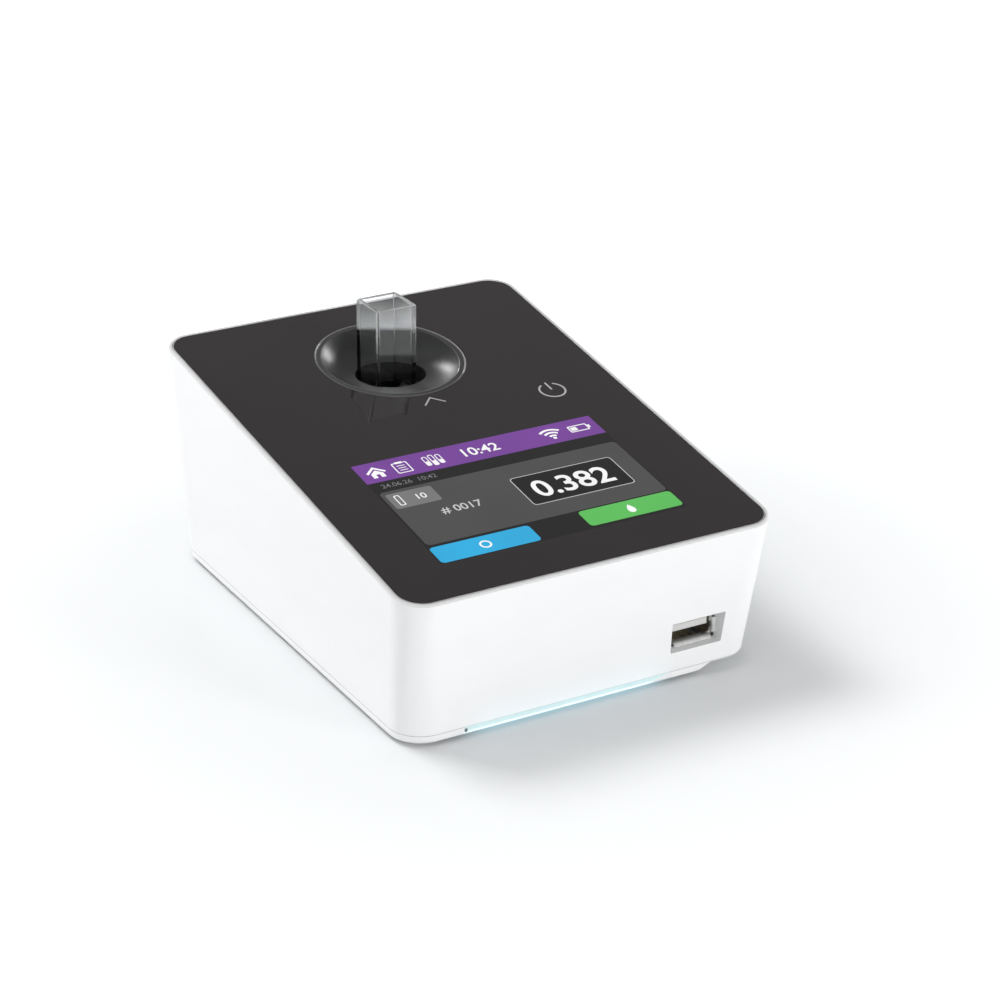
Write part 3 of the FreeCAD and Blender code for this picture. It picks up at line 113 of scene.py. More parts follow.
@dataclass(frozen=True)
class Deck:
    """The sloping plane of the glass: u to the right, v up the slope, w out of the glass.

    Attributes:
        tilt: Slope in degrees.
        height: Height of the glass in its middle.
    """

    tilt: float = 8.48
    height: float = 54.1

    def normal(self) -> Triple:
        """The direction that the glass faces."""
        slope = math.radians(self.tilt)
        return 0.0, -math.sin(slope), math.cos(slope)

    def matrix(self, u: float, v: float, w: float) -> Matrix:
        """The matrix that lays flat millimetre shapes on the deck at a place."""
        turn = Matrix.Rotation(math.radians(self.tilt), 4, "X")
        place = Vector((0.0, 0.0, self.height)) + turn.to_3x3() @ Vector((u, v, w))
        return Matrix.Translation(place * MM) @ turn @ Matrix.Scale(MM, 4)


DECK = Deck()


# ---------------------------------------------------------------- node trees

class NodeTree:
    """A node tree with one short call that adds a node, sets it and joins it."""

    def __init__(self, tree: bpy.types.NodeTree) -> None:
        """Takes a tree and empties it."""
        self.tree = tree
        tree.nodes.clear()

    def feed(self, socket: Socket, value: object) -> None:
        """Joins or sets an input.

        Args:
            socket: The input.
            value: A node's output, or a value; a colour may have three numbers.
        """
        if isinstance(value, Socket):
            self.tree.links.new(value, socket)
        elif socket.type == "RGBA" and len(value) == 3:
            socket.default_value = (*value, 1.0)
        else:
            socket.default_value = value

    def node(self, kind: str, inputs: Optional[dict[Union[str, int], object]] = None,
             **settings: object) -> bpy.types.Node:
        """Adds a node.

        Args:
            kind: Type of the node.
            inputs: What each of its inputs takes, as feed does.
            **settings: Its own settings.

        Returns:
            The node.
        """
        node = self.tree.nodes.new(kind)
        for label, value in settings.items():
            setattr(node, label, value)
        for label, value in (inputs or {}).items():
            self.feed(node.inputs[label], value)
        return node


class Shader(NodeTree):
    """A material's node tree, with short calls for what the finishes have in common."""

    def __init__(self, name: str) -> None:
        """Makes the material with one Principled shader and Object coordinates.

        Args:
            name: Name of the material.
        """
        self.material = bpy.data.materials.new(name)
        self.material.use_nodes = True
        super().__init__(self.material.node_tree)
        self.surface = self.node("ShaderNodeBsdfPrincipled")
        self.node("ShaderNodeOutputMaterial", {"Surface": self.surface.outputs["BSDF"]})
        self.place = self.node("ShaderNodeTexCoord").outputs["Object"]

    def set(self, **values: Value) -> "Shader":
        """Sets or joins the shader's own sockets.

        Args:
            **values: What each takes, by its name with underscores for spaces.

        Returns:
            This shader, so that calls can follow each other.
        """
        for name, value in values.items():
            self.feed(self.surface.inputs[name.replace("_", " ")], value)
        return self

    def math(self, operation: str, *values: Value) -> Socket:
        """Works through values from the left, one Math node for each step.

        Args:
            operation: The nodes' operation, such as MULTIPLY.
            *values: Outputs or numbers.

        Returns:
            The result.
        """
        result, *rest = values
        for value in rest or (0.0,):
            result = self.node("ShaderNodeMath", {0: result, 1: value}, operation=operation).outputs[0]
        return result

    def axis(self, name: str) -> Socket:
        """One Object coordinate, by its letter."""
        return self.node("ShaderNodeSeparateXYZ", {0: self.place}).outputs[name]

    def ramp(self, value: Socket, ends: Point2, span: Point2 = (0.0, 1.0)) -> Socket:
        """Maps a value from one range to another, without leaving the second."""
        return self.node("ShaderNodeMapRange", {"Value": value, "From Min": ends[0], "From Max": ends[1],
                                                "To Min": span[0], "To Max": span[1]}).outputs["Result"]

    def along(self, axis: str, ends_mm: Point2, span: Point2 = (0.0, 1.0)) -> Socket:
        """Maps one Object coordinate, between two places in millimetres."""
        return self.ramp(self.axis(axis), (ends_mm[0] * MM, ends_mm[1] * MM), span)

    def noise(self, size_mm: float, detail: float, rough: float = 0.5, stretch: Optional[Triple] = None) -> Socket:
        """Noise whose spots are about size_mm across.

        Args:
            size_mm: Size of a spot in millimetres.
            detail: How many finer layers it has.
            rough: How strong the finer layers are.
            stretch: Scale of the coordinates for each axis.

        Returns:
            The noise value.
        """
        place = self.place
        if stretch:
            place = self.node("ShaderNodeMapping", {"Vector": place, "Scale": stretch}).outputs["Vector"]
        return self.node("ShaderNodeTexNoise", {"Vector": place, "Scale": 1 / (size_mm * MM), "Detail": detail,
                                                "Roughness": rough}).outputs[0]

    def patches(self, size_mm: float, detail: float, ends: Point2 = MIDDLE, span: Point2 = (0.0, 1.0),
                **more: object) -> Socket:
        """Soft patches: noise of a size and detail, mapped from one range to another."""
        return self.ramp(self.noise(size_mm, detail, **more), ends, span)

    def wiped(self) -> Socket:
        """Roughness of glass that was wiped clean, with faint traces."""
        return self.patches(9.0, 4.0, (0.4, 0.75), (0.035, 0.075), rough=0.6)

    def blend(self, share: Socket, first: RGB, second: RGB) -> Socket:
        """A colour between two, by share."""
        return self.node("ShaderNodeMix", {"Factor": share, 6: first, 7: second}, data_type="RGBA").outputs[2]

    def scaled(self, colour: Socket, share: Socket) -> Socket:
        """A colour with all its levels at a share."""
        return self.node("ShaderNodeVectorMath", {0: colour, "Scale": share}, operation="SCALE").outputs[0]

    def facing(self, direction: Triple) -> Socket:
        """How far the surface faces a direction of the frame, from -1 to 1."""
        normal = self.node("ShaderNodeNewGeometry").outputs["Normal"]
        return self.node("ShaderNodeVectorMath", {0: normal, 1: direction}, operation="DOT_PRODUCT").outputs["Value"]

    def bump(self, height: Socket, depth_mm: float, strength: float) -> "Shader":
        """Raises and lowers the shaded surface by a height pattern, and returns this shader."""
        bump = self.node("ShaderNodeBump", {"Strength": strength, "Distance": depth_mm * MM, "Height": height})
        return self.set(Normal=bump.outputs["Normal"])


# ---------------------------------------------------------------- finishes

class Grain(Enum):
    """How the tool left a moulding: size and depth of its grain in millimetres, and spread of its roughness."""

    SATIN = (0.32, 0.010, 0.04)
    FINE = (0.22, 0.006, 0.04)
    POLISHED = (8.0, 0.004, 0.01)


class Lay(Enum):
    """How a metal part was left by its maker: stretch of the marks, and their depth in millimetres."""

    BRUSHED = ((1.0, 0.04, 1.0), 0.004)
    PLATED = ((1.0, 1.0, 1.0), 0.002)
    DRAWN = ((0.05, 1.0, 1.0), 0.004)


@dataclass(frozen=True)
class Finish:
    """What every finish has.

    Attributes:
        name: Name of the material.
    """

    name: str

    def build(self) -> Shader:
        """Makes the node tree."""
        return Shader(self.name)

    def material(self) -> bpy.types.Material:
        """Makes the material."""
        return self.build().material


@dataclass(frozen=True)
class MouldedPlastic(Finish):
    """Injection-moulded plastic with the grain of its tool.

    Attributes:
        colour: Linear colour.
        roughness: Roughness between the grain's highs and lows.
        grain: How the tool was finished.
        shade: How much darker the faintest flow marks are.
        gloss: Specular level.
    """

    colour: RGB
    roughness: float
    grain: Grain
    shade: float = 0.02
    gloss: float = 0.5

    def build(self) -> Shader:
        """Makes the node tree.

        Returns:
            The shader of the finish.
        """
        shader = super().build().set(IOR=PLASTIC_IOR, Specular_IOR_Level=self.gloss)
        spot, depth, spread = self.grain.value
        flow = shader.patches(14.0, 2.0, SPOTS, rough=0.45, stretch=(1.0, 0.45, 1.6))
        shader.set(Base_Color=shader.blend(flow, self.colour, dimmed(self.colour, 1 - self.shade)),
                   Roughness=shader.patches(1.8, 3.0, MIDDLE, (self.roughness - spread, self.roughness + spread)))
        return shader.bump(shader.noise(spot, 3.0, 0.6), depth, 0.5)


@dataclass(frozen=True)
class PaintedGlowHousing(MouldedPlastic):
    """The white moulding, with a painted glow: emission just above the strip stands in for the strip's light there;
    painted shade also darkens its upward faces.

    Attributes:
        glow: Colour of the painted glow.
        strength: How strong it is over the strip.
        behind: How much stronger it is behind the strip.
        behind_mm: Height where that ends, from the top of the strip.
        span_mm: Left and right end of the strip.
        ends_mm: How far the glow reaches past an end, and how far inside it is full.
        level_mm: Height where the glow is strongest and height where it has faded.
        fall: Power by which it fades upward.
        front_mm: The glow starts before the first of these depths and is full before the second.
        seam_mm: Height of the fine line where housing and tray meet.
        line_mm: Half width of that line, where it is full and where it ends.
        line_tone: Share of its brightness that the line keeps.
        top_shade_facing: How far upward a face looks where the painted shade on upward faces, such as the rim round
            the glass, starts and where it is full.
        top_shade_tone: Share of its brightness that an upward face keeps under that painted shade.
    """

    glow: RGB = (0.4, 0.85, 1.0)
    strength: float = 0.11
    behind: float = 2.6
    behind_mm: Point2 = (-1.9, -1.7)
    span_mm: Point2 = (-36.25, 26.45)
    ends_mm: Point2 = (1.5, 7.0)
    level_mm: Point2 = (3.4, 15.0)
    fall: float = 2.2
    front_mm: Point2 = (-60.0, -64.0)
    seam_mm: float = 3.4
    line_mm: Point2 = (0.05, 0.11)
    line_tone: float = 0.45
    top_shade_facing: Point2 = (0.25, 0.85)
    top_shade_tone: float = 0.74

    def build(self) -> Shader:
        """Makes the node tree.

        Returns:
            The shader of the finish.
        """
        shader = super().build()
        (left, right), (past, inside), low = self.span_mm, self.ends_mm, self.level_mm[0]
        # Painted glow: emission on the housing over the strip, fading upward, past its ends and away from the front.
        share = shader.math(
            "MULTIPLY", shader.along("X", (left - past, left + inside)),
            shader.along("X", (right - inside, right + past), (1.0, 0.0)),
            shader.math("POWER", shader.along("Z", self.level_mm, (1.0, 0.0)), self.fall),
            shader.along("Y", self.front_mm),
            shader.along("Z", (low + self.behind_mm[0], low + self.behind_mm[1]), (self.behind, 1.0)), self.strength)
        away = shader.math("ABSOLUTE", shader.math("SUBTRACT", shader.axis("Z"), self.seam_mm * MM))
        line = shader.ramp(away, (self.line_mm[0] * MM, self.line_mm[1] * MM), (self.line_tone, 1.0))
        # Painted shade: faces that look upward, such as the rim round the glass, are darkened.
        rim = shader.ramp(shader.facing((0.0, 0.0, 1.0)), self.top_shade_facing, (1.0, self.top_shade_tone))
        plain = shader.surface.inputs["Base Color"].links[0].from_socket
        return shader.set(Emission_Color=self.glow, Emission_Strength=share,
                          Base_Color=shader.scaled(plain, shader.math("MULTIPLY", line, rim)))


@dataclass(frozen=True)
class SheetMetal(Finish):
    """Bare or plated metal.

    Attributes:
        colour: Linear colour of the metal.
        roughness: Middle roughness.
        lay: Direction and kind of its marks.
    """

    colour: RGB
    roughness: float
    lay: Lay

    def build(self) -> Shader:
        """Makes the node tree.

        Returns:
            The shader of the finish.
        """
        shader = super().build().set(Metallic=1.0)
        stretch, depth = self.lay.value
        marks = shader.noise(0.12, 4.0, 0.65, stretch)
        shader.set(Base_Color=shader.blend(shader.patches(3.0, 2.0, SPOTS), self.colour, dimmed(self.colour, 0.82)),
                   Roughness=shader.ramp(marks, MIDDLE, (self.roughness * 0.8, self.roughness * 1.3)))
        return shader.bump(marks, depth, 0.5)


@dataclass(frozen=True)
class PrintedGlass(Finish):
    """Cover glass printed dark on its back; its ground edge is paler than the face.

    Attributes:
        ink: Colour seen through the glass.
        edge: Colour of the ground edge.
        edge_facing: How far a face looks the way of the glass where the edge ends and where the face starts.
        edge_rough: How much rougher the edge is.
    """

    ink: RGB
    edge: RGB
    edge_facing: Point2 = (0.93, 0.998)
    edge_rough: float = 0.3

    def build(self) -> Shader:
        """Makes the node tree.

        Returns:
            The shader of the finish.
        """
        shader = super().build().set(IOR=GLASS_IOR)
        flat = shader.ramp(shader.facing(DECK.normal()), self.edge_facing)
        tone = shader.patches(30.0, 1.0, MIDDLE, (0.94, 1.06))
        ground = shader.math("MULTIPLY", shader.math("SUBTRACT", 1.0, flat), self.edge_rough)
        shader.set(Base_Color=shader.scaled(shader.blend(flat, self.edge, self.ink), tone),
                   Roughness=shader.math("ADD", ground, shader.wiped()))
        return shader.bump(shader.noise(45.0, 1.0), 0.004, 0.15)


@dataclass(frozen=True)
class PaintedSheen:
    """Painted sheen on the square cell: a whitish band on its back walls, and faintly on its front wall, that
    scatters instead of letting light through and fades upward.

    Attributes:
        most: Most painted sheen on its back walls.
        middle_mm: Middle of the cell.
        level_mm: Height in the middle from which the back walls carry the painted sheen.
        lean: Fall of that height to the right and to the back.
        rise_mm: Where the painted sheen starts and is full, from that height.
        fade: Factor at that height and at the top.
        fade_mm: Height over which it fades.
        turn_mm: Half of the width where the back walls go over to the front ones.
        near: Factor of the walls to the front and left.
        wall_mm: Distances from the middle where an outer wall starts and is full.
        right: Factor of the right wall.
        lower_mm: Where the front wall's painted sheen starts and is full, from that height.
        front: Share of painted sheen on the front wall.
        cloud: Least and most of its faint clouds.
    """

    most: float
    middle_mm: Point2
    level_mm: float = 69.4
    lean: Point2 = (0.19, 0.336)
    rise_mm: Point2 = (-0.7, 0.5)
    fade: Point2 = (1.15, 0.12)
    fade_mm: float = 9.0
    turn_mm: float = 0.5
    near: float = 0.12
    wall_mm: Point2 = (5.1, 5.6)
    right: float = 0.6
    lower_mm: Point2 = (-8.6, -7.9)
    front: float = 0.055
    cloud: Point2 = (0.9, 1.08)

    def share(self, shader: Shader) -> Socket:
        """Works out the share of painted sheen at each point.

        Args:
            shader: The shader of the cell.

        Returns:
            The share.
        """
        x, y = self.middle_mm
        level = shader.axis("Z")
        for name, middle, lean in (("X", x, self.lean[0]), ("Y", y, self.lean[1])):
            out = shader.math("SUBTRACT", shader.axis(name), middle * MM)
            level = shader.math("ADD", level, shader.math("MULTIPLY", out, lean))

        def over(ends: Point2, span: Point2) -> Socket:
            """Maps the leaning height, counted from where the painted sheen on the back walls starts."""
            return shader.ramp(level, ((self.level_mm + ends[0]) * MM, (self.level_mm + ends[1]) * MM), span)

        across = shader.math("ADD", shader.axis("X"), shader.axis("Y"))
        turn = ((x + y - self.turn_mm) * MM, (x + y + self.turn_mm) * MM)
        start, full = self.wall_mm
        back = shader.math("MULTIPLY", over(self.rise_mm, (0.0, self.most)), over((0.0, self.fade_mm), self.fade),
                           shader.ramp(across, turn, (self.near, 1.0)),
                           shader.along("X", (x + start, x + full), (1.0, self.right)),
                           shader.patches(9.0, 1.0, MIDDLE, self.cloud))
        front = shader.math("MULTIPLY", over(self.lower_mm, (0.0, self.front)),
                            shader.along("Y", (y - full, y - start), (1.0, 0.0)))
        return shader.math("ADD", back, front)


@dataclass(frozen=True)
class ClearMoulding(Finish):
    """Clear moulded plastic.

    Attributes:
        tint: Colour that light keeps on its way through.
        ior: Refractive index.
        haze: Roughness of the moulded faces.
        scatter: Where its walls carry a painted sheen, if they do.
    """

    tint: RGB
    ior: float
    haze: float
    scatter: Optional[PaintedSheen] = None

    def build(self) -> Shader:
        """Makes the node tree.

        Returns:
            The shader of the finish.
        """
        shader = super().build().set(Base_Color=self.tint, IOR=self.ior, Transmission_Weight=1.0)
        # Painted sheen: the marked walls turn whitish and let less light through.
        if self.scatter:
            shader.set(Transmission_Weight=shader.math("SUBTRACT", 1.0, self.scatter.share(shader)))
        shader.set(Roughness=shader.patches(4.0, 3.0, HIGHS, (self.haze * 0.5, self.haze * 1.5)))
        return shader.bump(shader.noise(7.0, 1.0), 0.006, 0.25)


@dataclass(frozen=True)
class PaintedHighlightEdge(Finish):
    """Painted highlight on the corners and rim of a clear part: they are white and scatter light, fading to grey
    below.

    Attributes:
        haze: Roughness.
        clear: Share of light that passes through.
        colour: Colour of the painted highlight.
        fade_mm: Height where the painted highlight starts and height where it is full.
        dull: Colour that is left below the painted highlight.
        low_clear: Share of light that passes through there.
    """

    haze: float
    clear: float
    colour: RGB = (0.97, 0.98, 0.98)
    fade_mm: Point2 = (60.0, 70.0)
    dull: RGB = (0.22, 0.22, 0.22)
    low_clear: float = 0.93

    def build(self) -> Shader:
        """Makes the node tree.

        Returns:
            The shader of the finish.
        """
        shader = super().build().set(IOR=PLASTIC_IOR)
        # Painted highlight: white at the top, fading to grey lower down.
        return shader.set(Base_Color=shader.blend(shader.along("Z", self.fade_mm), self.dull, self.colour),
                          Transmission_Weight=shader.along("Z", self.fade_mm, (self.low_clear, self.clear)),
                          Roughness=shader.patches(2.0, 2.0, HIGHS, (self.haze * 0.7, self.haze * 1.3)))


@dataclass(frozen=True)
class LitField(Finish):
    """A field that gives its own light under the cover glass, with the glass's own gloss: the display's fields, and
    the printed marks as a painted glow.

    Attributes:
        light: Linear colour of the light that it gives.
    """

    light: RGB

    def build(self) -> Shader:
        """Makes the node tree.

        Returns:
            The shader of the finish.
        """
        shader = super().build().set(Base_Color=(0.004, 0.004, 0.004), IOR=GLASS_IOR, Emission_Strength=1.0)
        light = shader.blend(shader.patches(22.0, 1.0), dimmed(self.light, 0.95), dimmed(self.light, 1.05))
        return shader.set(Emission_Color=light, Roughness=shader.wiped())


@dataclass(frozen=True)
class LightGuide(Finish):
    """Clear strip that spreads the light of the lamps behind it; its lower lip is the brightest.

    Attributes:
        light: Colour of its glow.
        lip_light: Colour of the glow of its lip.
        body: Colour of the strip itself.
        end: Colour of the strip past its lit part.
        lip_mm: Heights between which the bright lip ends.
        strengths: Strength of the glow at the lip and over it.
        point_mm: Place across and height where the lit part comes to a point, at its right end.
        point_run: How far the point runs to the left for each millimetre of height.
        soft_mm: Half of the width where the lit part ends.
    """

    light: RGB
    lip_light: RGB
    body: RGB
    end: RGB
    lip_mm: Point2 = (1.75, 2.3)
    strengths: Point2 = (0.7, 0.42)
    point_mm: Point2 = (25.9, 3.4)
    point_run: float = 3.4
    soft_mm: float = 0.5

    def build(self) -> Shader:
        """Makes the node tree.

        Returns:
            The shader of the finish.
        """
        shader = super().build().set(IOR=PLASTIC_IOR)
        drop = shader.math("SUBTRACT", self.point_mm[1] * MM, shader.axis("Z"))
        run = shader.math("ADD", shader.axis("X"), shader.math("MULTIPLY", drop, self.point_run))
        reach = self.point_mm[0]
        lit = shader.ramp(run, ((reach - self.soft_mm) * MM, (reach + self.soft_mm) * MM), (1.0, 0.0))
        strength = shader.math("MULTIPLY", shader.along("Z", self.lip_mm, self.strengths),
                               shader.patches(5.0, 1.0, MIDDLE, (0.9, 1.1)), lit)
        return shader.set(Emission_Color=shader.blend(shader.along("Z", self.lip_mm), self.lip_light, self.light),
                          Emission_Strength=strength, Base_Color=shader.blend(lit, self.end, self.body),
                          Roughness=shader.patches(0.6, 2.0, MIDDLE, (0.18, 0.3)))


@dataclass(frozen=True)
class SolderMask(Finish):
    """Circuit board: solder mask over copper lines, with bare board between them.

    Attributes:
        mask: Colour of the mask over bare board.
        copper: Colour of the mask over copper.
        pitch_mm: Distance between two lines.
    """

    mask: RGB
    copper: RGB
    pitch_mm: float = 1.6

    def build(self) -> Shader:
        """Makes the node tree.

        Returns:
            The shader of the finish.
        """
        shader = super().build().set(IOR=GLASS_IOR, Coat_Weight=0.3, Coat_Roughness=0.15)
        gaps = shader.node("ShaderNodeTexBrick", {"Vector": shader.place, "Scale": 1 / (self.pitch_mm * MM),
                                                  "Mortar Size": 0.12, "Brick Width": 3.1,
                                                  "Row Height": 1.0}).outputs["Fac"]
        broken = shader.math("MULTIPLY", shader.patches(6.0, 1.0, (0.48, 0.52)), gaps)
        shader.set(Base_Color=shader.blend(broken, self.mask, self.copper),
                   Roughness=shader.patches(1.0, 3.0, MIDDLE, (0.26, 0.4)))
        return shader.bump(shader.math("SUBTRACT", 1.0, gaps), 0.03, 0.4)


@dataclass(frozen=True)
class ThinFilm(Finish):
    """Plastic film, tape or wrap with a soft sheen.

    Attributes:
        colour: Linear colour.
        roughness: Middle roughness.
        crease_mm: Size of its faint waves.
        clear: Share of light that passes through.
    """

    colour: RGB
    roughness: float
    crease_mm: float
    clear: float = 0.0

    def build(self) -> Shader:
        """Makes the node tree.

        Returns:
            The shader of the finish.
        """
        shader = super().build().set(IOR=GLASS_IOR, Transmission_Weight=self.clear, Coat_Weight=0.2,
                                     Coat_Roughness=0.2)
        waves = shader.patches(self.crease_mm, 3.0, SPOTS)
        shader.set(Base_Color=shader.blend(waves, self.colour, dimmed(self.colour, 0.85)),
                   Roughness=shader.patches(0.8, 2.0, MIDDLE, (self.roughness * 0.85, self.roughness * 1.15)))
        return shader.bump(shader.noise(self.crease_mm, 2.0), 0.05, 0.4)


@dataclass(frozen=True)
class SoftRubber(Finish):
    """Moulded rubber with a matt, faintly dusty face.

    Attributes:
        colour: Linear colour.
        dust: Colour of the dust on its highs.
    """

    colour: RGB
    dust: RGB

    def build(self) -> Shader:
        """Makes the node tree.

        Returns:
            The shader of the finish.
        """
        shader = super().build().set(IOR=1.52, Specular_IOR_Level=0.3, Sheen_Weight=0.15, Sheen_Roughness=0.6)
        dusty = shader.patches(2.2, 4.0, (0.5, 0.85), rough=0.65)
        shader.set(Base_Color=shader.blend(dusty, self.colour, self.dust),
                   Roughness=shader.patches(0.9, 3.0, MIDDLE, (0.68, 0.85)))
        return shader.bump(shader.noise(0.25, 3.0), 0.02, 0.6)


class Tone(Enum):
    """Colours of the screen, on the 0 to 255 scale."""

    DARK = (5, 5, 8)
    BANNER = (114, 60, 149)
    CARD = (69, 69, 69)
    PILL = (116, 116, 116)
    BOX = (2, 2, 2)
    WHITE = (246, 246, 246)
    GREY = (200, 200, 200)
    FAINT = (118, 118, 120)
    BLUE = (36, 170, 221)
    GREEN = (88, 184, 86)


class Wardrobe:
    """Every finish of the instrument, by name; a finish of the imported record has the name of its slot."""

    def __init__(self) -> None:
        """Builds each material once."""
        finishes = (
            # The housing carries a painted glow over the strip and painted shade on its upward faces.
            PaintedGlowHousing("housing_white", (0.86, 0.86, 0.862), 0.38, Grain.SATIN, 0.012),
            SoftRubber("foot_rubber", (0.018, 0.018, 0.019), (0.07, 0.07, 0.07)),
            SheetMetal("screw_steel", (0.62, 0.62, 0.63), 0.26, Lay.PLATED),
            PrintedGlass("panel_glass", (0.0165, 0.0130, 0.0137), (0.45, 0.45, 0.45)),
            ThinFilm("adhesive_sheet", (0.02, 0.02, 0.02), 0.6, 1.2),
            MouldedPlastic("bowl_black", (0.030, 0.030, 0.0305), 0.36, Grain.POLISHED, 0.1, 0.4),
            # The cell's walls carry a painted sheen.
            ClearMoulding("cuvette_clear", (0.97, 0.985, 0.985), PLASTIC_IOR, 0.012, PaintedSheen(0.52, (-0.8, 40.56))),
            MouldedPlastic("holder_black", (0.012, 0.012, 0.012), 0.5, Grain.FINE, 0.1),
            SheetMetal("spring_steel", (0.6, 0.58, 0.55), 0.3, Lay.DRAWN),
            ClearMoulding("led_clear", (0.98, 0.98, 0.96), 1.54, 0.04),
            SolderMask("board_green", (0.012, 0.11, 0.045), (0.03, 0.2, 0.08)),
            SheetMetal("detector_can", (0.66, 0.62, 0.52), 0.22, Lay.PLATED),
            ThinFilm("touch_film", (0.6, 0.66, 0.68), 0.12, 8.0, 0.8),
            MouldedPlastic("display_black", (0.01, 0.01, 0.012), 0.22, Grain.FINE, 0.1),
            SheetMetal("frame_steel", (0.56, 0.57, 0.58), 0.34, Lay.BRUSHED),
            MouldedPlastic("chip_black", (0.017, 0.017, 0.018), 0.55, Grain.FINE, 0.15),
            SheetMetal("shield_steel", (0.7, 0.7, 0.69), 0.3, Lay.PLATED),
            MouldedPlastic("connector_cream", (0.72, 0.66, 0.5), 0.45, Grain.FINE, 0.05),
            SheetMetal("usb_steel", (0.72, 0.71, 0.69), 0.2, Lay.PLATED),
            MouldedPlastic("tongue_white", (0.62, 0.62, 0.60), 0.4, Grain.FINE, 0.06),
            SheetMetal("contact_gold", (0.83, 0.62, 0.27), 0.2, Lay.PLATED),
            LightGuide("strip_light", (0.41, 0.57, 0.585), (0.9, 0.97, 1.0), (0.50, 0.62, 0.63), (0.84, 0.85, 0.85)),
            ThinFilm("battery_wrap", (0.02, 0.09, 0.3), 0.3, 6.0),
            ThinFilm("ribbon_film", (0.62, 0.36, 0.08), 0.3, 2.0),
            # Painted glow: the printed marks give their own light instead of being lit by the lamps.
            LitField("print_ink", rgb(172, 170, 170)),
            # The beads' grey is lighter than the dish: partly a painted highlight.
            MouldedPlastic("bowl_edge", (0.12, 0.12, 0.12), 0.24, Grain.POLISHED, 0.1, 0.8),
            SheetMetal("usb_lip", (0.86, 0.86, 0.84), 0.42, Lay.PLATED),
            # Painted highlight on the cell's corners and rim.
            PaintedHighlightEdge("cuvette_edge", 0.15, 0.35),
            PaintedHighlightEdge("cuvette_rim", 0.05, 0.72),
            # Painted shade for the dark left end of the strip.
            MouldedPlastic("strip_gap", (0.16, 0.19, 0.2), 0.6, Grain.FINE),
            *(LitField("screen_" + tone.name.lower(), rgb(*tone.value)) for tone in Tone),
        )
        self.materials = {finish.name: finish.material() for finish in finishes}

    def __getitem__(self, name: str) -> bpy.types.Material:
        """A material by the name of its finish."""
        return self.materials[name]

    def dress(self) -> None:
        """Gives every node of the frame the finish of its slot."""
        for name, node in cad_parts.items():
            for holder in node.material_slots:
                slot = holder.material.name.split(".")[0] if holder.material else ""
                if slot in self.materials:
                    holder.material = self[slot]
                else:
                    LOG.warning("node %s has slot %s without a finish", name, slot)
            LOG.info("dressed %s", name)


# ---------------------------------------------------------------- shapes

def rounded(width: float, height: float, radius: float, steps: int = 6) -> list[Point2]:
    """The outline of a rounded rectangle about the origin, turning left.

    Args:
        width: Full width.
        height: Full height.
        radius: Corner radius.
        steps: Sections in each corner.

    Returns:
        Its points.
    """
    radius = min(radius, width / 2, height / 2)
    points = []
    for turn, (side, rise) in enumerate(((1, 1), (-1, 1), (-1, -1), (1, -1))):
        for step in range(steps + 1):
            angle = math.radians(90 * turn + 90 * step / steps)
            points.append((side * (width / 2 - radius) + radius * math.cos(angle),
                           rise * (height / 2 - radius) + radius * math.sin(angle)))
    return points


def arc_band(radius: float, width: float, start: float, end: float, steps: int) -> list[Outline]:
    """A curved band, such as an arc of a symbol, as short flat sections.

    Args:
        radius: Radius of its middle line.
        width: Width of the band.
        start: Angle where it starts, in degrees.
        end: Angle where it ends, in degrees.
        steps: Sections along it.

    Returns:
        One outline for each section, turning left.
    """
    turns = [math.radians(start + (end - start) * step / steps) for step in range(steps + 1)]
    low, high = [[(reach * math.cos(turn), reach * math.sin(turn)) for turn in turns]
                 for reach in (radius - width / 2, radius + width / 2)]
    return [[low[step], high[step], high[step + 1], low[step + 1]] for step in range(steps)]


def stroke(start: Point2, end: Point2, width: float, steps: int = 6) -> list[Point2]:
    """The outline of a straight line with round ends.

    Args:
        start: Its first point.
        end: Its last point.
        width: Its width.
        steps: Sections in each end.

    Returns:
        Its points, turning left.
    """
    angle = math.atan2(end[1] - start[1], end[0] - start[0])
    half = width / 2
    points = []
    for centre, first in ((end, angle - math.pi / 2), (start, angle + math.pi / 2)):
        for step in range(steps + 1):
            turn = first + math.pi * step / steps
            points.append((centre[0] + half * math.cos(turn), centre[1] + half * math.sin(turn)))
    return points


def moved(points: Outline, across: float, up: float) -> list[Point2]:
    """The same outline at another place."""
    return [(x + across, y + up) for x, y in points]


def ring(outside: Triple, inside: Triple) -> list[Outline]:
    """The line round a rounded rectangle, as quadrilaterals.

    Args:
        outside: Width, height and corner radius of its outside.
        inside: The same of its inside.

    Returns:
        One outline for each quadrilateral.
    """
    outer, inner = rounded(*outside), rounded(*inside)
    count = len(outer)
    return [[outer[i], outer[(i + 1) % count], inner[(i + 1) % count], inner[i]] for i in range(count)]


def linked(name: str, data: bpy.types.ID) -> bpy.types.Object:
    """Makes an object in the scene."""
    made = bpy.data.objects.new(name, data)
    bpy.context.scene.collection.objects.link(made)
    return made


def plain_mesh(name: str, carrier: bpy.types.Object) -> bpy.types.Mesh:
    """Turns what an object shows into a plain mesh, and removes the object.

    Args:
        name: Name of the mesh.
        carrier: The object.

    Returns:
        The mesh.
    """
    bpy.context.view_layer.update()
    mesh = bpy.data.meshes.new_from_object(carrier.evaluated_get(bpy.context.evaluated_depsgraph_get()))
    carrier.modifiers.clear()
    bpy.data.objects.remove(carrier)
    mesh.name = name
    return mesh


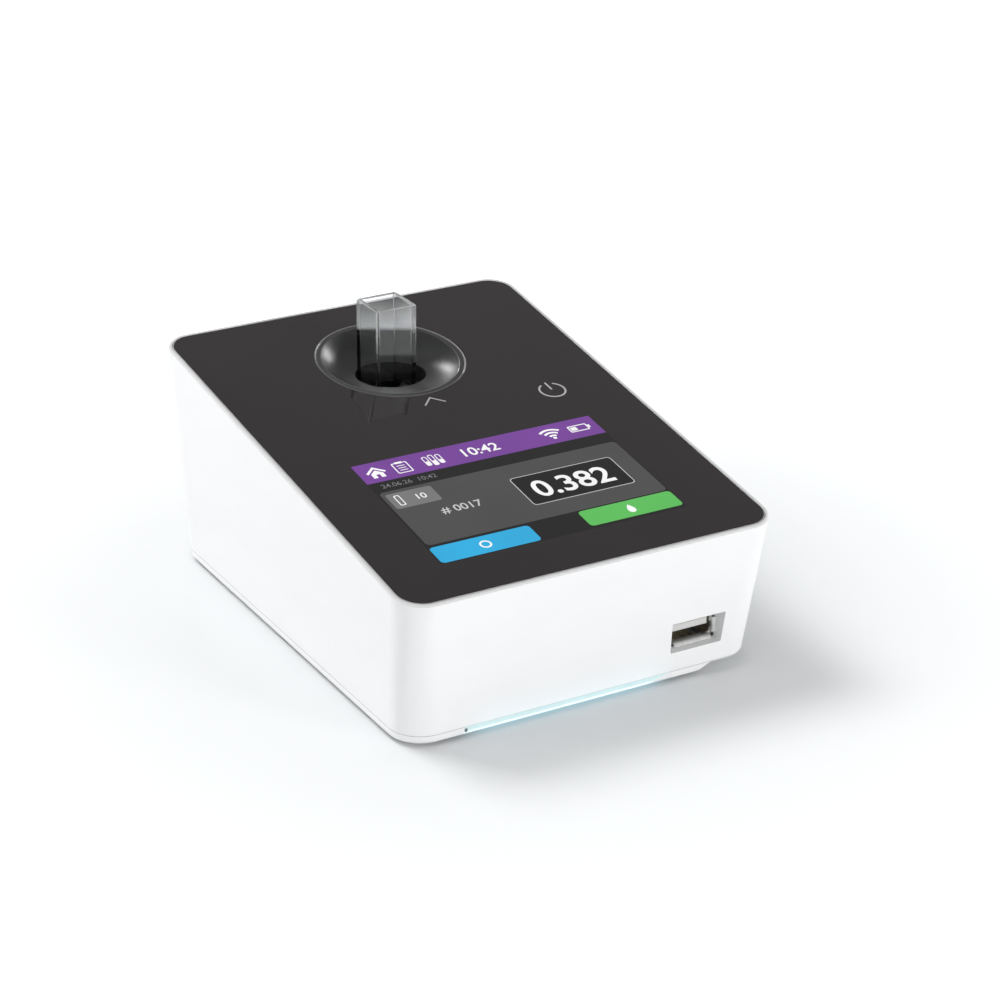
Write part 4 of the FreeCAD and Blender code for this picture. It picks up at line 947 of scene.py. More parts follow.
def make_piece(name: str, mesh: bpy.types.Mesh, material: bpy.types.Material,
               smooth: bool = False) -> bpy.types.Object:
    """Links a finished mesh, dresses it and lets it ride on the instrument.

    Args:
        name: Name of the piece.
        mesh: Its mesh, in metres in the frame.
        material: Its finish.
        smooth: Whether its faces are shaded smooth.

    Returns:
        The piece.
    """
    mesh.materials.clear()
    mesh.materials.append(material)
    for face in mesh.polygons:
        face.use_smooth = smooth
        face.material_index = 0
    piece = linked(name, mesh)
    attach(piece, ROOT)
    LOG.info("made %s with %d faces", name, len(mesh.polygons))
    return piece


def bridge(shape: bmesh.types.BMesh, loops: list[list[bmesh.types.BMVert]], closed: bool = False) -> None:
    """Joins loops of the same length with quadrilaterals.

    Args:
        shape: The mesh that holds them.
        loops: The loops in order.
        closed: Whether the last loop joins the first.
    """
    for first, second in zip(loops, loops[1:] + (loops[:1] if closed else [])):
        for i in range(len(first)):
            j = (i + 1) % len(first)
            shape.faces.new((first[i], first[j], second[j], second[i]))


def finished(shape: bmesh.types.BMesh, name: str, recalculate: bool = True) -> bpy.types.Mesh:
    """Turns a worked mesh into a mesh of the scene, with its faces outward.

    Args:
        shape: The worked mesh, which is freed.
        name: Name of the mesh.
        recalculate: Whether its doubles are merged and its normals worked out again.

    Returns:
        The mesh.
    """
    if recalculate:
        bmesh.ops.remove_doubles(shape, verts=shape.verts, dist=1e-7)
        bmesh.ops.recalc_face_normals(shape, faces=shape.faces)
    mesh = bpy.data.meshes.new(name)
    shape.to_mesh(mesh)
    shape.free()
    return mesh


def flat_mesh(name: str, outlines: Iterable[Outline], place: Matrix, thick: float) -> bpy.types.Mesh:
    """A mesh of flat outlines, each a thin plate.

    Args:
        name: Name of the mesh.
        outlines: Outlines in millimetres, turning left seen from outside.
        place: Matrix that lays them in the frame.
        thick: How far each plate reaches down under its face, in millimetres.

    Returns:
        The mesh in metres.
    """
    shape = bmesh.new()
    for outline in outlines:
        top, low = [[shape.verts.new((x, y, level)) for x, y in outline] for level in (0.0, -thick)]
        shape.faces.new(top)
        shape.faces.new(list(reversed(low)))
        bridge(shape, [low, top])
    shape.normal_update()
    large = [face for face in shape.faces if len(face.verts) > 4]
    bmesh.ops.triangulate(shape, faces=large, ngon_method="EAR_CLIP")
    shape.transform(place)
    return finished(shape, name, recalculate=False)


# ---------------------------------------------------------------- repeated parts

class Pattern(NodeTree):
    """A Geometry Nodes tree that repeats one small solid on a grid, with named inputs for its sizes."""

    def __init__(self, name: str, middle: Vector, spread: Point2, count: tuple[int, int],
                 sizes: dict[str, Union[float, int, Vector]]) -> None:
        """Makes the empty tree with its inputs.

        Args:
            name: Name of the tree and of the mesh that it makes.
            middle: Middle of the grid in metres.
            spread: Distance from the first to the last solid each way, in metres.
            count: Number of solids each way.
            sizes: Named sizes of the solid in metres, counts as whole numbers and vectors.
        """
        super().__init__(bpy.data.node_groups.new(name, "GeometryNodeTree"))
        self.name = name
        self.values = {"Middle": middle, "Spread X": spread[0], "Spread Y": spread[1], "Count X": count[0],
                       "Count Y": count[1], **sizes}
        for label, value in self.values.items():
            kind = {int: "NodeSocketInt", float: "NodeSocketFloat"}.get(type(value), "NodeSocketVector")
            self.tree.interface.new_socket(label, in_out="INPUT", socket_type=kind)
        self.tree.interface.new_socket("Geometry", in_out="OUTPUT", socket_type="NodeSocketGeometry")
        self.source = self.node("NodeGroupInput")

    def feed(self, socket: Socket, value: object) -> None:
        """Joins or sets an input; a text is the name of one of the tree's inputs."""
        super().feed(socket, self.source.outputs[value] if isinstance(value, str) else value)

    def part(self, kind: str, inputs: dict[Union[str, int], object], lift: Optional[str] = None,
             **settings: object) -> Socket:
        """Adds a node of the solid, and moves what it makes.

        Args:
            kind: Type of the node.
            inputs: What each of its inputs takes.
            lift: Name of the input that says how far it moves.
            **settings: Its own settings.

        Returns:
            The shape that it makes.
        """
        shape = self.node(kind, inputs, **settings).outputs[0]
        return self.part("GeometryNodeTransform", {0: shape, "Translation": lift}) if lift else shape

    def on_points(self, points: Socket, solid: Socket) -> Socket:
        """One copy of a solid on each point."""
        return self.part("GeometryNodeInstanceOnPoints", {"Points": points, "Instance": solid})

    def joined(self, *shapes: Socket) -> Socket:
        """Joins shapes.

        Args:
            *shapes: The shapes.

        Returns:
            All of them as one.
        """
        join = self.node("GeometryNodeJoinGeometry")
        for shape in shapes:
            self.feed(join.inputs[0], shape)
        return join.outputs[0]

    def mesh(self, solid: Socket, material: bpy.types.Material) -> bpy.types.Mesh:
        """Ends the tree, runs it and takes its plain mesh.

        Args:
            solid: The finished solid.
            material: Its finish.

        Returns:
            The mesh in metres.
        """
        grid = self.part("GeometryNodeMeshGrid", {"Size X": "Spread X", "Size Y": "Spread Y", "Vertices X": "Count X",
                                                  "Vertices Y": "Count Y"}, "Middle")
        real = self.part("GeometryNodeRealizeInstances", {0: self.on_points(grid, solid)})
        dressed = self.part("GeometryNodeSetMaterial", {0: real, "Material": material})
        self.node("NodeGroupOutput", {0: dressed})
        carrier = linked(self.name + "_carrier", bpy.data.meshes.new(self.name + "_carrier"))
        modifier = carrier.modifiers.new(self.name, "NODES")
        modifier.node_group = self.tree
        for item in self.tree.interface.items_tree:
            if item.in_out == "INPUT":
                modifier[item.identifier] = self.values[item.name]
        return plain_mesh(self.name, carrier)


# ---------------------------------------------------------------- sub-assemblies

@dataclass
class GlassPanel:
    """The printed glass: an arrowhead under the bowl and the power symbol, seen through the glass; the print has a
    painted glow.

    Attributes:
        proud: How far the print stands over the glass.
        arrow_at: Middle of the arrowhead.
        arrow_size: Width and height of the arrowhead.
        arrow_line: Width of its lines.
        power_at: Middle of the power symbol.
        power_radius: Radius of its ring.
        power_line: Width of its lines.
        power_turn: Angles where the ring starts and ends.
        power_bar: Start and end of the bar, as shares of the radius.
    """

    proud: float = 0.02
    arrow_at: Point2 = (0.0, 15.1)
    arrow_size: Point2 = (6.2, 3.3)
    arrow_line: float = 0.44
    power_at: Point2 = (34.4, 8.0)
    power_radius: float = 3.7
    power_line: float = 0.55
    power_turn: Point2 = (118, 422)
    power_bar: Point2 = (0.15, 1.12)

    def build(self, wardrobe: Wardrobe) -> None:
        """Makes the printed symbols.

        Args:
            wardrobe: The finishes.
        """
        wide, high = self.arrow_size
        arrow = [stroke((-wide / 2, -high / 2), (0, high / 2), self.arrow_line),
                 stroke((0, high / 2), (wide / 2, -high / 2), self.arrow_line)]
        start, end = (self.power_radius * share for share in self.power_bar)
        power = [*arc_band(self.power_radius, self.power_line, *self.power_turn, 40),
                 stroke((0, start), (0, end), self.power_line)]
        for name, outlines, place in (("print_arrow", arrow, self.arrow_at),
                                      ("print_power_mark", power, self.power_at)):
            mesh = flat_mesh(name, outlines, DECK.matrix(*place, self.proud), self.proud)
            make_piece(name, mesh, wardrobe["print_ink"])


@dataclass
class SampleBowl:
    """The moulded dish: two fine beads that mark the edges of its lip, in a grey lighter than the dish that is partly
    a painted highlight.

    Attributes:
        centre: Middle of the dish on the deck.
        beads: Radius, height over the glass and thickness of each bead, and whether it runs out to the back.
        thin: Least, middle and swing of the thickness of a bead that runs out.
        steps: Sections round the dish.
        sides: Sections round a bead.
    """

    centre: Point2 = (0.0, 40.2)
    beads: tuple[tuple[float, float, float, bool], ...] = ((21.12, -0.05, 0.14, False), (19.62, -0.04, 0.17, True))
    thin: Triple = (0.25, 0.5, 0.7)
    steps: int = 144
    sides: int = 10

    def build(self, wardrobe: Wardrobe) -> None:
        """Makes the beads.

        Args:
            wardrobe: The finishes.
        """
        least, middle, swing = self.thin
        for number, (radius, level, half, runs_out) in enumerate(self.beads):
            shape = bmesh.new()
            loops = []
            for turn in (math.tau * step / self.steps for step in range(self.steps)):
                near = max(least, middle - swing * math.sin(turn)) if runs_out else 1.0
                thick = half * min(1.0, near)
                loop = []
                for angle in (math.tau * side / self.sides for side in range(self.sides)):
                    reach = radius + thick * math.cos(angle)
                    loop.append(shape.verts.new((reach * math.cos(turn), reach * math.sin(turn),
                                                 thick * math.sin(angle) - (half - thick))))
                loops.append(loop)
            bridge(shape, loops, closed=True)
            shape.transform(DECK.matrix(*self.centre, level))
            name = f"bowl_bead_{number}"
            make_piece(name, finished(shape, name), wardrobe["bowl_edge"], smooth=True)


@dataclass
class UsbSocket:
    """The four springy lips round the mouth of the socket, which turn outward in the recess of the housing.

    Attributes:
        middle: Middle of the mouth across and its height.
        size: Outer width and height of the shell.
        profile: Depth and spread of a lip, from the shell to its rim.
        thick: Thickness of the sheet.
        corner: Gap left free at each corner.
    """

    middle: Point2 = (33.4, 13.65)
    size: Point2 = (13.1, 5.9)
    profile: tuple[Point2, ...] = ((-66.4, -0.1), (-66.9, -0.04), (-67.2, 0.12), (-67.38, 0.42), (-67.45, 0.85))
    thick: float = 0.22
    corner: float = 0.75

    def build(self, wardrobe: Wardrobe) -> None:
        """Makes the lips, each a short curved plate.

        Args:
            wardrobe: The finishes.
        """
        shape = bmesh.new()
        half_wide, half_high = self.size[0] / 2, self.size[1] / 2
        for across, up, distance, length in ((0, -1, half_high, half_wide), (0, 1, half_high, half_wide),
                                             (-1, 0, half_wide, half_high), (1, 0, half_wide, half_high)):
            span = length - self.corner
            rows = []
            for step, (depth, spread) in enumerate(self.profile):
                share = step / (len(self.profile) - 1)
                row = []
                for along, lift in ((-span, 0.0), (span, 0.0), (span, 1.0), (-span, 1.0)):
                    out = distance + spread - self.thick * lift * (1 - share)
                    x = self.middle[0] + across * out + (along if up else 0.0)
                    z = self.middle[1] + up * out + (along if across else 0.0)
                    row.append(shape.verts.new(at(x, depth + self.thick * (1 - lift) * share, z)))
                rows.append(row)
            bridge(shape, rows)
            shape.faces.new(rows[0])
            shape.faces.new(rows[-1])
        make_piece("usb_lips", finished(shape, "usb_lips"), wardrobe["usb_lip"])


@dataclass
class Cuvette:
    """The clear square cell, with rounded corners inside and out and a soft rim.

    Attributes:
        side: Outer width.
        wall: Wall thickness.
        floor: Thickness of its floor.
        corners: Outer and inner corner radius.
        rim_corner: How much larger the inner radius is on top of the rim.
        corner_steps: Sections in a corner.
        foot: How much narrower the outside is, and its height over the bottom.
        rim: How much narrower the outside is and wider the inside, and the depth under the top.
        well: How much narrower the inside is, and its height over the floor.
        turned: A face belongs to a corner if it is this far from flat, and at most this far.
        rim_slope: A corner face belongs to the rim if it looks up or down by more than this.
    """

    side: float = 12.5
    wall: float = 1.2
    floor: float = 1.5
    corners: Point2 = (0.32, 0.25)
    rim_corner: float = 0.2
    corner_steps: int = 5
    foot: tuple[Point2, ...] = ((1.2, 0.0), (0.5, 0.1), (0.1, 0.5), (0.0, 1.0))
    rim: tuple[Point2, ...] = ((0.0, 0.22), (0.18, 0.09), (0.6, 0.0))
    well: tuple[Point2, ...] = ((0.1, 0.6), (0.5, 0.15), (1.2, 0.0))
    turned: Point2 = (0.05, 0.985)
    rim_slope: float = 0.1

    def build(self, wardrobe: Wardrobe) -> None:
        """Makes the cell.

        Args:
            wardrobe: The finishes.
        """
        low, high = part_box("cuvette")
        base, top = low.z / MM, high.z / MM
        centre = ((low.x + high.x) / 2 / MM, (low.y + high.y) / 2 / MM)
        outer, inner = self.side, self.side - 2 * self.wall
        wide, tight = self.corners
        sections = [(outer - less, wide, base + rise) for less, rise in self.foot]
        sections += [(outer - less, wide, top - drop) for less, drop in self.rim]
        sections += [(inner + more, tight if drop else tight + self.rim_corner, top - drop)
                     for more, drop in reversed(self.rim)]
        sections += [(inner - less, tight, base + self.floor + rise) for less, rise in self.well]
        shape = bmesh.new()
        loops = [[shape.verts.new((x, y, level)) for x, y in moved(rounded(side, side, corner, self.corner_steps),
                                                                  *centre)]
                 for side, corner, level in sections]
        bridge(shape, loops)
        shape.faces.new(list(reversed(loops[0])))
        shape.faces.new(loops[-1])
        shape.normal_update()
        # Faces of the corners take the painted highlight, and those that slope at the rim take the rim's.
        marks = []
        for normal in (face.normal for face in shape.faces):
            turned = self.turned[0] < max(abs(normal.x), abs(normal.y)) < self.turned[1]
            marks.append((2 if abs(normal.z) > self.rim_slope else 1) if turned else 0)
        shape.transform(Matrix.Scale(MM, 4))
        cell = make_piece("cuvette_cell", finished(shape, "cuvette_cell", recalculate=False),
                          wardrobe["cuvette_clear"])
        cell.data.materials.append(wardrobe["cuvette_edge"])
        cell.data.materials.append(wardrobe["cuvette_rim"])
        cell.data.polygons.foreach_set("material_index", marks)
        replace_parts(cell, "cuvette")


@dataclass(frozen=True)
class Plate:
    """A rounded field of the screen.

    Attributes:
        name: Name of the piece.
        size: Width and height.
        corner: Corner radius.
        middle: Middle of the field on the deck.
        tone: Its colour.
        layer: How many layers lie under it.
        steps: Sections in each corner.
    """

    name: str
    size: Point2
    corner: float
    middle: Point2
    tone: Tone
    layer: int
    steps: int = 6


@dataclass(frozen=True)
class Digits:
    """A line of plain digits on the screen.

    Attributes:
        name: Name of the piece.
        text: The digits.
        middle: Middle of the line.
        height: Height of a digit.
        tone: Its colour.
        layer: How many layers lie under it.
        bold: Thickening of the strokes, as a share of the height.
    """

    name: str
    text: str
    middle: Point2
    height: float
    tone: Tone
    layer: int
    bold: float


@dataclass
class Screen:
    """The lit screen: banner with plain symbols, grey card with a reading, and two keys.

    Attributes:
        step: Height of one layer over the one below.
        digit_share: Height of a digit as a share of the type's size.
        plates: The fields.
        lines: The lines of digits, all plain examples.
        layers: Finish of each colour.
    """

    step: float = 0.012
    digit_share: float = 0.72
    plates: tuple[Plate, ...] = (
        Plate("screen_ground", (73.6, 50.6), 0.25, (-0.5, -33.5), Tone.DARK, 0, 2),
        Plate("screen_banner", (73.6, 9.6), 0.2, (-0.5, -13.0), Tone.BANNER, 1, 2),
        Plate("screen_card", (72.6, 27.1), 1.4, (-0.4, -36.35), Tone.CARD, 1),
        Plate("screen_pill", (13.4, 7.4), 0.8, (-28.9, -27.85), Tone.PILL, 2),
        Plate("screen_box_line", (31.4, 14.1), 1.2, (14.45, -36.35), Tone.GREY, 2),
        Plate("screen_box", (30.9, 13.6), 1.0, (14.45, -36.35), Tone.BOX, 3),
        Plate("screen_key_left", (29.3, 7.5), 1.2, (-22.45, -54.75), Tone.BLUE, 1),
        Plate("screen_key_right", (28.6, 7.4), 1.2, (21.7, -54.1), Tone.GREEN, 1))
    lines: tuple[Digits, ...] = (
        Digits("screen_reading", "0.382", (14.2, -36.6), 7.8, Tone.WHITE, 4, 0.022),
        Digits("screen_date", "24.06.26  10:42", (-26.2, -20.2), 1.9, Tone.FAINT, 2, 0.004),
        Digits("screen_title_digits", "10:42", (-0.6, -13.0), 3.9, Tone.WHITE, 2, 0.02),
        Digits("screen_width_digits", "10", (-26.6, -27.85), 2.5, Tone.WHITE, 3, 0.012),
        Digits("screen_count", "# 0017", (-19.4, -36.7), 3.0, Tone.GREY, 2, 0.012))
    layers: dict[Tone, bpy.types.Material] = field(default_factory=dict)

    def put(self, name: str, outlines: Iterable[Outline], tone: Tone, layer: int) -> None:
        """Makes one field of the screen.

        Args:
            name: Name of the piece.
            outlines: Its outlines in deck millimetres.
            tone: Its colour.
            layer: How many layers lie under it.
        """
        mesh = flat_mesh(name, outlines, DECK.matrix(0.0, 0.0, self.step * (layer + 1)), self.step)
        make_piece(name, mesh, self.layers[tone])

    def write(self, line: Digits) -> None:
        """Sets a line of digits.

        Args:
            line: The line.
        """
        curve = bpy.data.curves.new(line.name, "FONT")
        curve.body, curve.resolution_u = line.text, 6
        curve.align_x, curve.align_y = "CENTER", "CENTER"
        curve.size, curve.offset = line.height / self.digit_share, line.bold * line.height
        mesh = plain_mesh(line.name, linked(line.name + "_text", curve))
        bpy.data.curves.remove(curve)
        middle = [(min(places) + max(places)) / 2 for places in zip(*(vertex.co[:2] for vertex in mesh.vertices))]
        place = DECK.matrix(*line.middle, self.step * (line.layer + 1))
        mesh.transform(place @ Matrix.Translation((-middle[0], -middle[1], 0.0)))
        make_piece(line.name, mesh, self.layers[line.tone])

    def build(self, wardrobe: Wardrobe) -> None:
        """Makes every field, symbol and digit of the screen.

        Args:
            wardrobe: The finishes.
        """
        self.layers = {tone: wardrobe["screen_" + tone.name.lower()] for tone in Tone}
        for plate in self.plates:
            outline = moved(rounded(*plate.size, plate.corner, plate.steps), *plate.middle)
            self.put(plate.name, [outline], plate.tone, plate.layer)
        for line in self.lines:
            self.write(line)
        self.symbols()

    def symbols(self) -> None:
        """Makes the plain symbols: house, list, tubes, signal, battery, cell, and the marks on the two keys."""
        roof = [(-2.9, 0.1), (-2.45, -0.45), (0, 1.8), (2.45, -0.45), (2.9, 0.1), (0, 2.8)]
        walls = [(-1.8, -0.55), (-1.8, -2.6), (-0.55, -2.6), (-0.55, -1.0), (0.55, -1.0), (0.55, -2.6), (1.8, -2.6),
                 (1.8, -0.55), (0, 1.1)]
        page = ring((4.6, 5.2, 0.5), (3.9, 4.5, 0.3))
        parts = [([roof, walls], (-32.3, -13.2)), (page, (-24.6, -13.4))]
        parts += [([rounded(2.4, 0.3, 0.1, 2)], (-24.6, -14.6 + 1.1 * row)) for row in range(3)]
        parts.append(([rounded(2.2, 0.9, 0.3)], (-24.6, -10.9)))
        for column, high in enumerate((4.6, 5.4, 4.6)):
            place = -17.1 + 2.0 * column
            parts.append((ring((1.5, high, 0.6), (0.95, high - 0.6, 0.4)), (place, -13.1)))
            parts.append(([rounded(0.9, high * 0.4, 0.3)], (place, -13.1 - high * 0.22 - 0.1 * column)))
        parts += [(arc_band(radius, 0.75, 48, 132, 12), (21.6, -15.4)) for radius in (1.5, 3.0, 4.5)]
        battery = ring((6.0, 3.2, 0.5), (5.2, 2.4, 0.3))
        parts += [([rounded(1.1, 1.1, 0.5)], (21.6, -15.2)), (battery, (30.3, -13.0)),
                  ([rounded(0.6, 1.4, 0.15)], (33.65, -13.0)), ([rounded(1.9, 1.7, 0.15)], (28.9, -13.0))]
        turns = [math.tau * step / 24 for step in reversed(range(24))]
        drop = [(math.sin(turn) * 1.45 * math.sin(turn / 2), 1.9 * math.cos(turn)) for turn in turns]
        for name, marks, layer in (
                ("screen_symbols", parts, 2),
                ("screen_vial", [(ring((1.7, 5.0, 0.5), (1.1, 4.4, 0.35)), (-33.0, -27.85))], 3),
                ("screen_key_ring", [(ring((3.4, 3.4, 1.7), (2.3, 2.3, 1.15)), (-22.45, -54.75))], 2),
                ("screen_key_drop", [([drop], (21.7, -54.1))], 2)):
            self.put(name, [moved(shape, *place) for shapes, place in marks for shape in shapes], Tone.WHITE, layer)


@dataclass
class StripEnd:
    """Painted shade at the left end of the light strip: a small dark field where the recessed end of the strip lies
    in shade.

    Attributes:
        size: Width and height of the dark field.
        corner: Its corner radius.
        rise: Height of its middle over the strip's lowest edge.
        proud: How far its face stands before the strip.
    """

    size: Point2 = (0.8, 1.1)
    corner: float = 0.35
    rise: float = 0.95
    proud: float = 0.03

    def build(self, wardrobe: Wardrobe) -> None:
        """Makes the painted shade as a thin dark field.

        Args:
            wardrobe: The finishes.
        """
        # Painted shade: a thin dark field on the strip's left end.
        middle = in_box("light_strip", (0.0, 0.0, 0.0), (self.size[0] / 2, -self.proud, self.rise))
        place = Matrix.Translation(middle) @ Matrix.Rotation(math.radians(90), 4, "X") @ Matrix.Scale(MM, 4)
        mesh = flat_mesh("strip_end_gap", [rounded(*self.size, self.corner)], place, 2 * self.proud)
        make_piece("strip_end_gap", mesh, wardrobe["strip_gap"])


@dataclass
class BaseScrews:
    """The four screws that hold the tray, seen from below, each with a cross recess in its head.

    Attributes:
        head: Radius and height of a head.
        shank: Radius of the shank.
        ridge: How far the thread stands over its root.
        pitch: Distance between two turns of the thread.
        plain: Length of the shank's end without a thread.
        recess: Length, width and depth of one arm of the cross.
        chamfer: Bevel round the head.
        sections: Sections round the head and round the shank.
    """

    head: Point2 = (2.8, 1.8)
    shank: float = 1.25
    ridge: float = 0.22
    pitch: float = 0.9
    plain: float = 0.6
    recess: Triple = (3.0, 0.7, 1.1)
    chamfer: float = 0.35
    sections: tuple[int, int] = (40, 20)

    def build(self, wardrobe: Wardrobe) -> None:
        """Makes the screws in place of the plain ones.

        Args:
            wardrobe: The finishes.
        """
        low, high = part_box("base_screws")
        reach, rise = self.head
        wide, deep, tall = (high - low) / MM
        length, width, depth = self.recess
        side = rise - self.chamfer
        sizes = {
            "Head Radius": reach * MM, "Head Height": side * MM, "Head Lift": at(0, 0, self.chamfer + side / 2),
            "Face Radius": (reach - self.chamfer) * MM, "Chamfer": self.chamfer * MM,
            "Root Radius": (self.shank - self.ridge) * MM, "Shank Length": (tall - rise) * MM,
            "Shank Lift": at(0, 0, (tall + rise) / 2), "Arm A": at(length, width, 2 * depth),
            "Arm B": at(width, length, 2 * depth), "Turn Radius": self.shank * MM,
            "Turn Depth": self.pitch / 2 * MM, "Turn Step": at(0, 0, self.pitch),
            "Turn Start": at(0, 0, rise + self.pitch / 2), "Turns": int(tall - rise - self.plain)}
        spread = ((wide - 2 * reach) * MM, (deep - 2 * reach) * MM)
        tree = Pattern("screw_set", in_box("base_screws", (0.5, 0.5, 0.0)), spread, (2, 2), sizes)
        many, few = self.sections
        barrel = tree.part("GeometryNodeMeshCylinder", {"Vertices": many, "Radius": "Head Radius",
                                                        "Depth": "Head Height"}, "Head Lift")
        face = tree.part("GeometryNodeMeshCone", {"Vertices": many, "Radius Bottom": "Face Radius",
                                                  "Radius Top": "Head Radius", "Depth": "Chamfer"})
        shank = tree.part("GeometryNodeMeshCylinder", {"Vertices": few, "Radius": "Root Radius",
                                                       "Depth": "Shank Length"}, "Shank Lift")
        arms = [tree.part("GeometryNodeMeshCube", {"Size": arm}) for arm in ("Arm A", "Arm B")]
        solid = tree.part("GeometryNodeMeshBoolean", {1: tree.joined(barrel, face)}, operation="UNION")
        cut = tree.part("GeometryNodeMeshBoolean", {0: solid, 1: tree.joined(*arms)}, operation="DIFFERENCE")
        turn = tree.part("GeometryNodeMeshCone", {"Vertices": few, "Radius Bottom": "Turn Radius",
                                                  "Radius Top": "Root Radius", "Depth": "Turn Depth"})
        line = tree.part("GeometryNodeMeshLine", {"Count": "Turns", "Start Location": "Turn Start",
                                                  "Offset": "Turn Step"}, mode="OFFSET")
        metal = wardrobe["screw_steel"]
        mesh = tree.mesh(tree.joined(cut, shank, tree.on_points(line, turn)), metal)
        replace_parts(make_piece("screw_set", mesh, metal), "base_screws")


@dataclass
class BoardParts:
    """Small parts that repeat on the boards: chip legs, lamps of the strip, resistors and capacitors.

    Attributes:
        leg: Width, reach and thickness of a chip leg.
        leg_rise: Gap between the legs and the board.
        legs: Number of legs on each side of the processor.
        leg_margin: Width left free at the ends of a row of legs.
        lamps: Number of lamps behind the strip.
        lamp_margin: Width left free at the ends of the row of lamps.
    """

    leg: Triple = (0.28, 0.9, 0.2)
    leg_rise: float = 0.02
    legs: int = 16
    leg_margin: float = 2.4
    lamps: int = 9
    lamp_margin: float = 5.0

    def build(self, wardrobe: Wardrobe) -> None:
        """Makes the small parts, as equal blocks on flat grids.

        Args:
            wardrobe: The finishes.
        """
        width, reach, thick = self.leg
        low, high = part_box("processor")
        wide, deep, _ = (high - low) / MM
        chip = in_box("processor", (0.5, 0.5, 0.0), (0, 0, thick / 2 + self.leg_rise))
        low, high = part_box("strip_led_board")
        row = (high.x - low.x) / MM - self.lamp_margin
        for name, middle, spread, count, size, slot in (
                ("processor_legs_x", chip, (wide + reach, deep - self.leg_margin), (2, self.legs),
                 (reach, width, thick), "shield_steel"),
                ("processor_legs_y", chip, (wide - self.leg_margin, deep + reach), (self.legs, 2),
                 (width, reach, thick), "shield_steel"),
                ("strip_lamps", in_box("strip_led_board", (0.5, 0.0, 0.5), (0, 0.29, 0)), (row, 0.0),
                 (self.lamps, 1), (2.6, 0.6, 1.6), "connector_cream"),
                ("board_resistors", in_box("main_board", (0.5, 0.0, 1.0), (-2, 18, 0.3)), (18.0, 6.0), (7, 3),
                 (1.6, 0.8, 0.6), "chip_black"),
                ("board_capacitors", in_box("main_board", (1.0, 0.5, 1.0), (-12, 0, 0.4)), (9.0, 8.0), (4, 3),
                 (0.9, 1.8, 0.8), "connector_cream")):
            tree = Pattern(name, middle, (spread[0] * MM, spread[1] * MM), count, {"Block": at(*size)})
            mesh = tree.mesh(tree.part("GeometryNodeMeshCube", {"Size": "Block"}), wardrobe[slot])
            make_piece(name, mesh, wardrobe[slot])


